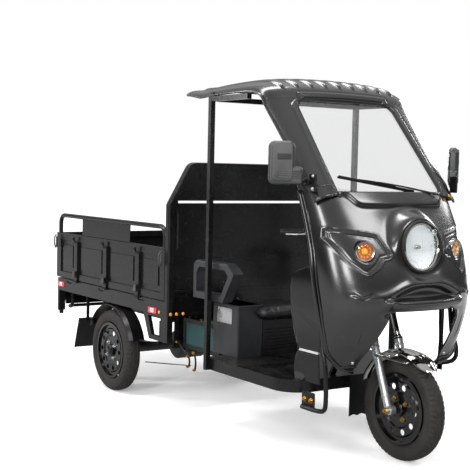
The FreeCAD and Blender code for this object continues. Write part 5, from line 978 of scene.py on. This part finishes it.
TUBE_Y = 415.0
edge_z = np.linspace(1118, 560, 9)
edge_x = bare_nose(edge_z, np.zeros(9))[0] - 20
climb_path = np.stack([edge_x, np.full(9, -TUBE_Y), edge_z], -1)
foot_right = [(1182, -TUBE_Y, 470), (1190, -TUBE_Y, 384), (1193, -TUBE_Y, 318), (1188, -TUBE_Y, 262),
              (1138, -TUBE_Y, 250), (1012, -412, 250)]
foot_left = [(1190, -TUBE_Y, 500), (1188, -TUBE_Y, 428), (1110, -410, 400), (1040, -396, 392),
             (982, -380, 352)]
tubes = [swept(smoothed(np.concatenate([climb_path, foot_right]), 3), 11, (0, 1, 0.05), 18),
         swept(smoothed(np.concatenate([climb_path, foot_left]), 3) * (1, -1, 1), 11, (0, 1, 0.05), 18)]
piece("side_tube_pair", tubes, powder_coat, stands_for=["side_tubes"])
ear = [block((1050, -404, 289), (96, 72, 5), 8, 1.5, ALONG_X)]
piece("side_tube_bracket", ear, powder_coat)
piece("side_tube_bolts", nuts([(x, -407, 289) for x in (1028, 1078)], (0, -1, 0), 17), brass)

# ---------------- mirrors
# A moulded grey housing in two parts with rounded corners and ribs across the lower one. Its dark opening is a
# thin black rubber plate laid proud of the face, painted shade. The glass looks back, and a cast arm holds it
# at a plate bolted to the pillar's foot.

MIRROR_AT, MIRROR_YAW = np.array([994.0, -550, 1386]), math.radians(42)
FACING = np.array([math.cos(MIRROR_YAW), -math.sin(MIRROR_YAW), 0])
INWARD, UP = np.array([math.sin(MIRROR_YAW), math.cos(MIRROR_YAW), 0]), np.array([0, 0, 1.0])
mirror_axes = (INWARD, UP, FACING)


def on_mirror(inward, up, ahead):
    """A place measured from the housing's middle."""
    return MIRROR_AT + inward * INWARD + up * UP + ahead * FACING


mirror_grey = coated("weathered_grey_polypropylene", "#1c1d1d", "#272827", 0.40, 0.06, 1.4, 0.05, edge=2.0,
                     dust=0.1)
housing = [block(on_mirror(*at), size, corner, edge, mirror_axes, 7) for at, size, corner, edge in (
    ((0, 0, 0), (123, 200, 46), 30, 15), ((5, 4, 21), (98, 176, 10), 20, 5),
    ((48, -57, 2), (100, 80, 42), 14, 9))]
for up in (-36, -46, -56, -66):
    housing.append(swept([on_mirror(side, up, 23) for side in np.linspace(-8, 88, 12)], 3.4, FACING, 10))
piece("mirror_housings", both(housing), mirror_grey, stands_for=["mirrors"])
# Painted shade: a dark rubber plate proud of the housing's face, standing in for the shadow inside the opening.
slot_shade_plate = block(on_mirror(14, 28, 25), (64, 27, 5), 3, 1, mirror_axes)
piece("mirror_slot_shade_plates", both([slot_shade_plate]), soft_black)
silvered = coated("silvered_mirror_glass", "#d5dadb", "#cfd4d6", 0.02, 0.01, 6.0, 0.004, Metallic=1.0)
mirror = block(on_mirror(0, 4, -24), (104, 168, 4), 22, 1.5, mirror_axes, 7)
piece("mirror_glasses", both([mirror]), silvered)
arm_path = smoothed([on_mirror(70, -78, 0), on_mirror(98, -92, 2), (1066, -470, 1290), (1084, -452, 1300)])
arm = [swept(arm_path, np.linspace(9, 11, len(arm_path)), UP, 16),
       turned([(0, 0), (0, 15), (26, 15), (26, 0)], on_mirror(92, -104, 0), UP, 24),
       block((1098, -449, 1298), (46, 82, 9), 5, 2, ALONG_X),
       turned([(0, 0), (0, 13), (22, 13), (22, 0)], (1082, -452, 1300), (0, -1, 0), 24)]
piece("mirror_arms", both(arm), powder_coat)
holds = nuts([(1104, -453, z) for z in (1270, 1328)], (0, -1, 0), 12)
piece("mirror_bolts", both(holds), bright)

# ---------------- brake linkage
# A pedal shaft's plates under the right sill, their brass-nutted joints, and the rod to the rear brake.

LINK_Y = -300
rod_line = np.linspace([-690.0, LINK_Y, 166], [-160, LINK_Y, 232], 30)
piece("brake_rod", [swept(rod_line, 3.2, (0, 1, 0), 12)], bright)
levers = [swept(smoothed(line, 2), 9, (0, 1, 0), 12, 0.35)
          for line in ([(-300, LINK_Y, 352), (-240, LINK_Y, 300), (-176, LINK_Y, 282), (-110, LINK_Y, 316)],
                       [(-176, LINK_Y - 8, 284), (-160, LINK_Y - 8, 256), (-172, LINK_Y - 8, 224)],
                       [(-110, LINK_Y - 8, 312), (-96, LINK_Y - 8, 262), (-104, LINK_Y - 8, 214)])]
piece("brake_levers_low", levers, powder_coat)
JOINTS = ((-298, 350), (-176, 284), (-112, 314), (-172, 226), (-103, 218))
joints = nuts([(x, LINK_Y - 14, z) for x, z in JOINTS], (0, -1, 0), 13)
piece("brake_joints", joints, brass)

# ---------------- floor, light and camera
# A pale seamless floor that also shows bright in the camera, six soft lamps round the vehicle in a
# pale room, and a camera where the photograph's stood.

floor_finish = bpy.data.materials.new("pale_floor")
floor_finish.use_nodes = True
floor_finish.node_tree.nodes.clear()
ray = add(floor_finish, "LightPath")
seen = add(floor_finish, "Math", {"operation": "MAXIMUM"},
           {0: (ray, "Is Camera Ray"), 1: (ray, "Is Glossy Ray")})
seen = add(floor_finish, "Math", {"operation": "MAXIMUM"},
           {0: (seen, "Value"), 1: (ray, "Is Transmission Ray")})
spot = add(floor_finish, "TexCoord")
reach = add(floor_finish, "VectorMath", {"operation": "LENGTH"}, {0: (spot, "Object")})
fade = add(floor_finish, "MapRange", {"From Min": 1.6, "From Max": 5.0, "To Min": 0.30, "To Max": 1.0},
           {"Value": (reach, "Value")})
lift = add(floor_finish, "Math", {"operation": "MULTIPLY"}, {0: (seen, "Value"), 1: (fade, "Result")})
dimmed = add(floor_finish, "Mix", {"data_type": "RGBA", 6: linear("#f4f4f4"), 7: linear("#8c8c8c")},
             {0: (ray, "Is Glossy Ray")})
pale = add(floor_finish, "BsdfDiffuse", {}, {"Color": (dimmed, 2)})
lit = add(floor_finish, "Emission", {"Color": (1, 1, 1, 1)}, {"Strength": (lift, "Value")})
floor_sum = add(floor_finish, "AddShader", {}, {0: (pale, "BSDF"), 1: (lit, "Emission")})
add(floor_finish, "OutputMaterial", {}, {"Surface": (floor_sum, "Shader")})
floor_mesh = bpy.data.meshes.new("floor")
floor_mesh.from_pydata([(-30, -30, 0), (30, -30, 0), (30, 30, 0), (-30, 30, 0)], [], [(0, 1, 2, 3)])
floor_mesh.materials.append(floor_finish)
floor = bpy.data.objects.new("floor", floor_mesh)
bpy.context.scene.collection.objects.link(floor)

world = bpy.data.worlds.new("soft_studio")
bpy.context.scene.world = world
world.use_nodes = True
world.node_tree.nodes.clear()
ray = add(world, "LightPath")
seen = add(world, "Math", {"operation": "MAXIMUM"},
           {0: (ray, "Is Camera Ray"), 1: (ray, "Is Transmission Ray")})
spot = add(world, "TexCoord")
upward = add(world, "SeparateXYZ", {}, {"Vector": (spot, "Generated")})
mirrored = add(world, "MapRange", {"From Min": 0.05, "From Max": 0.75, "To Min": -0.25, "To Max": 0.70},
               {"Value": (upward, "Z")})
seen = add(world, "Math", {"operation": "MULTIPLY_ADD", 1: 0.70, 2: 0.30}, {0: (seen, "Value")})
strength = add(world, "Math", {"operation": "MULTIPLY_ADD"},
               {0: (ray, "Is Glossy Ray"), 1: (mirrored, "Result"), 2: (seen, "Value")})
sky = add(world, "Background", {"Color": (1, 1, 1, 1)}, {"Strength": (strength, "Value")})
add(world, "OutputWorld", {}, {"Surface": (sky, "Background")})


def softbox(name, place, aim, width, height, watts):
    """A rectangular lamp that looks from a place towards an aim, in metres."""
    data = bpy.data.lights.new(name, "AREA")
    data.shape, data.size, data.size_y, data.energy = "RECTANGLE", width, height, watts
    lamp = bpy.data.objects.new(name, data)
    way, aside, over = basis(np.array(place, float) - np.array(aim, float))
    turn = np.eye(4)
    turn[:3, 0], turn[:3, 1], turn[:3, 2], turn[:3, 3] = aside, np.cross(way, aside), way, place
    lamp.matrix_world = mathutils.Matrix(turn.tolist())
    bpy.context.scene.collection.objects.link(lamp)


for name, place, aim, width, height, watts in (
        ("overhead_strip", (0.0, -0.9, 4.2), (0.0, 0, 0.6), 4.4, 0.7, 160),
        ("key_strip", (2.6, -4.6, 2.7), (0.8, 0, 0.8), 0.8, 2.8, 170),
        ("camera_softbox", (5.3, -3.8, 2.7), (1.2, 0, 0.9), 1.2, 1.0, 110),
        ("front_top_softbox", (3.9, 0.7, 4.0), (1.2, 0, 0.9), 1.6, 1.1, 80),
        ("rear_strip", (-3.4, -3.8, 2.6), (-0.6, 0, 0.6), 0.7, 2.4, 110),
        ("left_softbox", (-0.6, 4.8, 3.0), (0, 0, 0.6), 2.4, 1.0, 110)):
    softbox(name, place, aim, width, height, watts)

CAMERA_AT = (4.820, -3.387, 1.352)
YAW, PITCH, ROLL = (math.radians(degrees) for degrees in (145.92, -3.62, -1.26))
FRAME_PIXELS, FOCAL_PIXELS, SENSOR = 470, 1041, 36
ahead = np.array([math.cos(YAW) * math.cos(PITCH), math.sin(YAW) * math.cos(PITCH), math.sin(PITCH)])
level = np.cross(ahead, (0, 0, 1)) / np.linalg.norm(np.cross(ahead, (0, 0, 1)))
down = np.cross(ahead, level)
pose = np.eye(4)
pose[:3, 0] = math.cos(ROLL) * level + math.sin(ROLL) * down
pose[:3, 1] = math.sin(ROLL) * level - math.cos(ROLL) * down
pose[:3, 2] = -ahead
pose[:3, 3] = CAMERA_AT
camera = bpy.data.cameras.new("photograph_camera")
camera.sensor_width, camera.lens = SENSOR, SENSOR * FOCAL_PIXELS / FRAME_PIXELS
viewer = bpy.data.objects.new("photograph_camera", camera)
viewer.matrix_world = mathutils.Matrix(pose.tolist())
bpy.context.scene.collection.objects.link(viewer)
bpy.context.scene.camera = viewer
bpy.context.scene.view_settings.view_transform = "Standard"
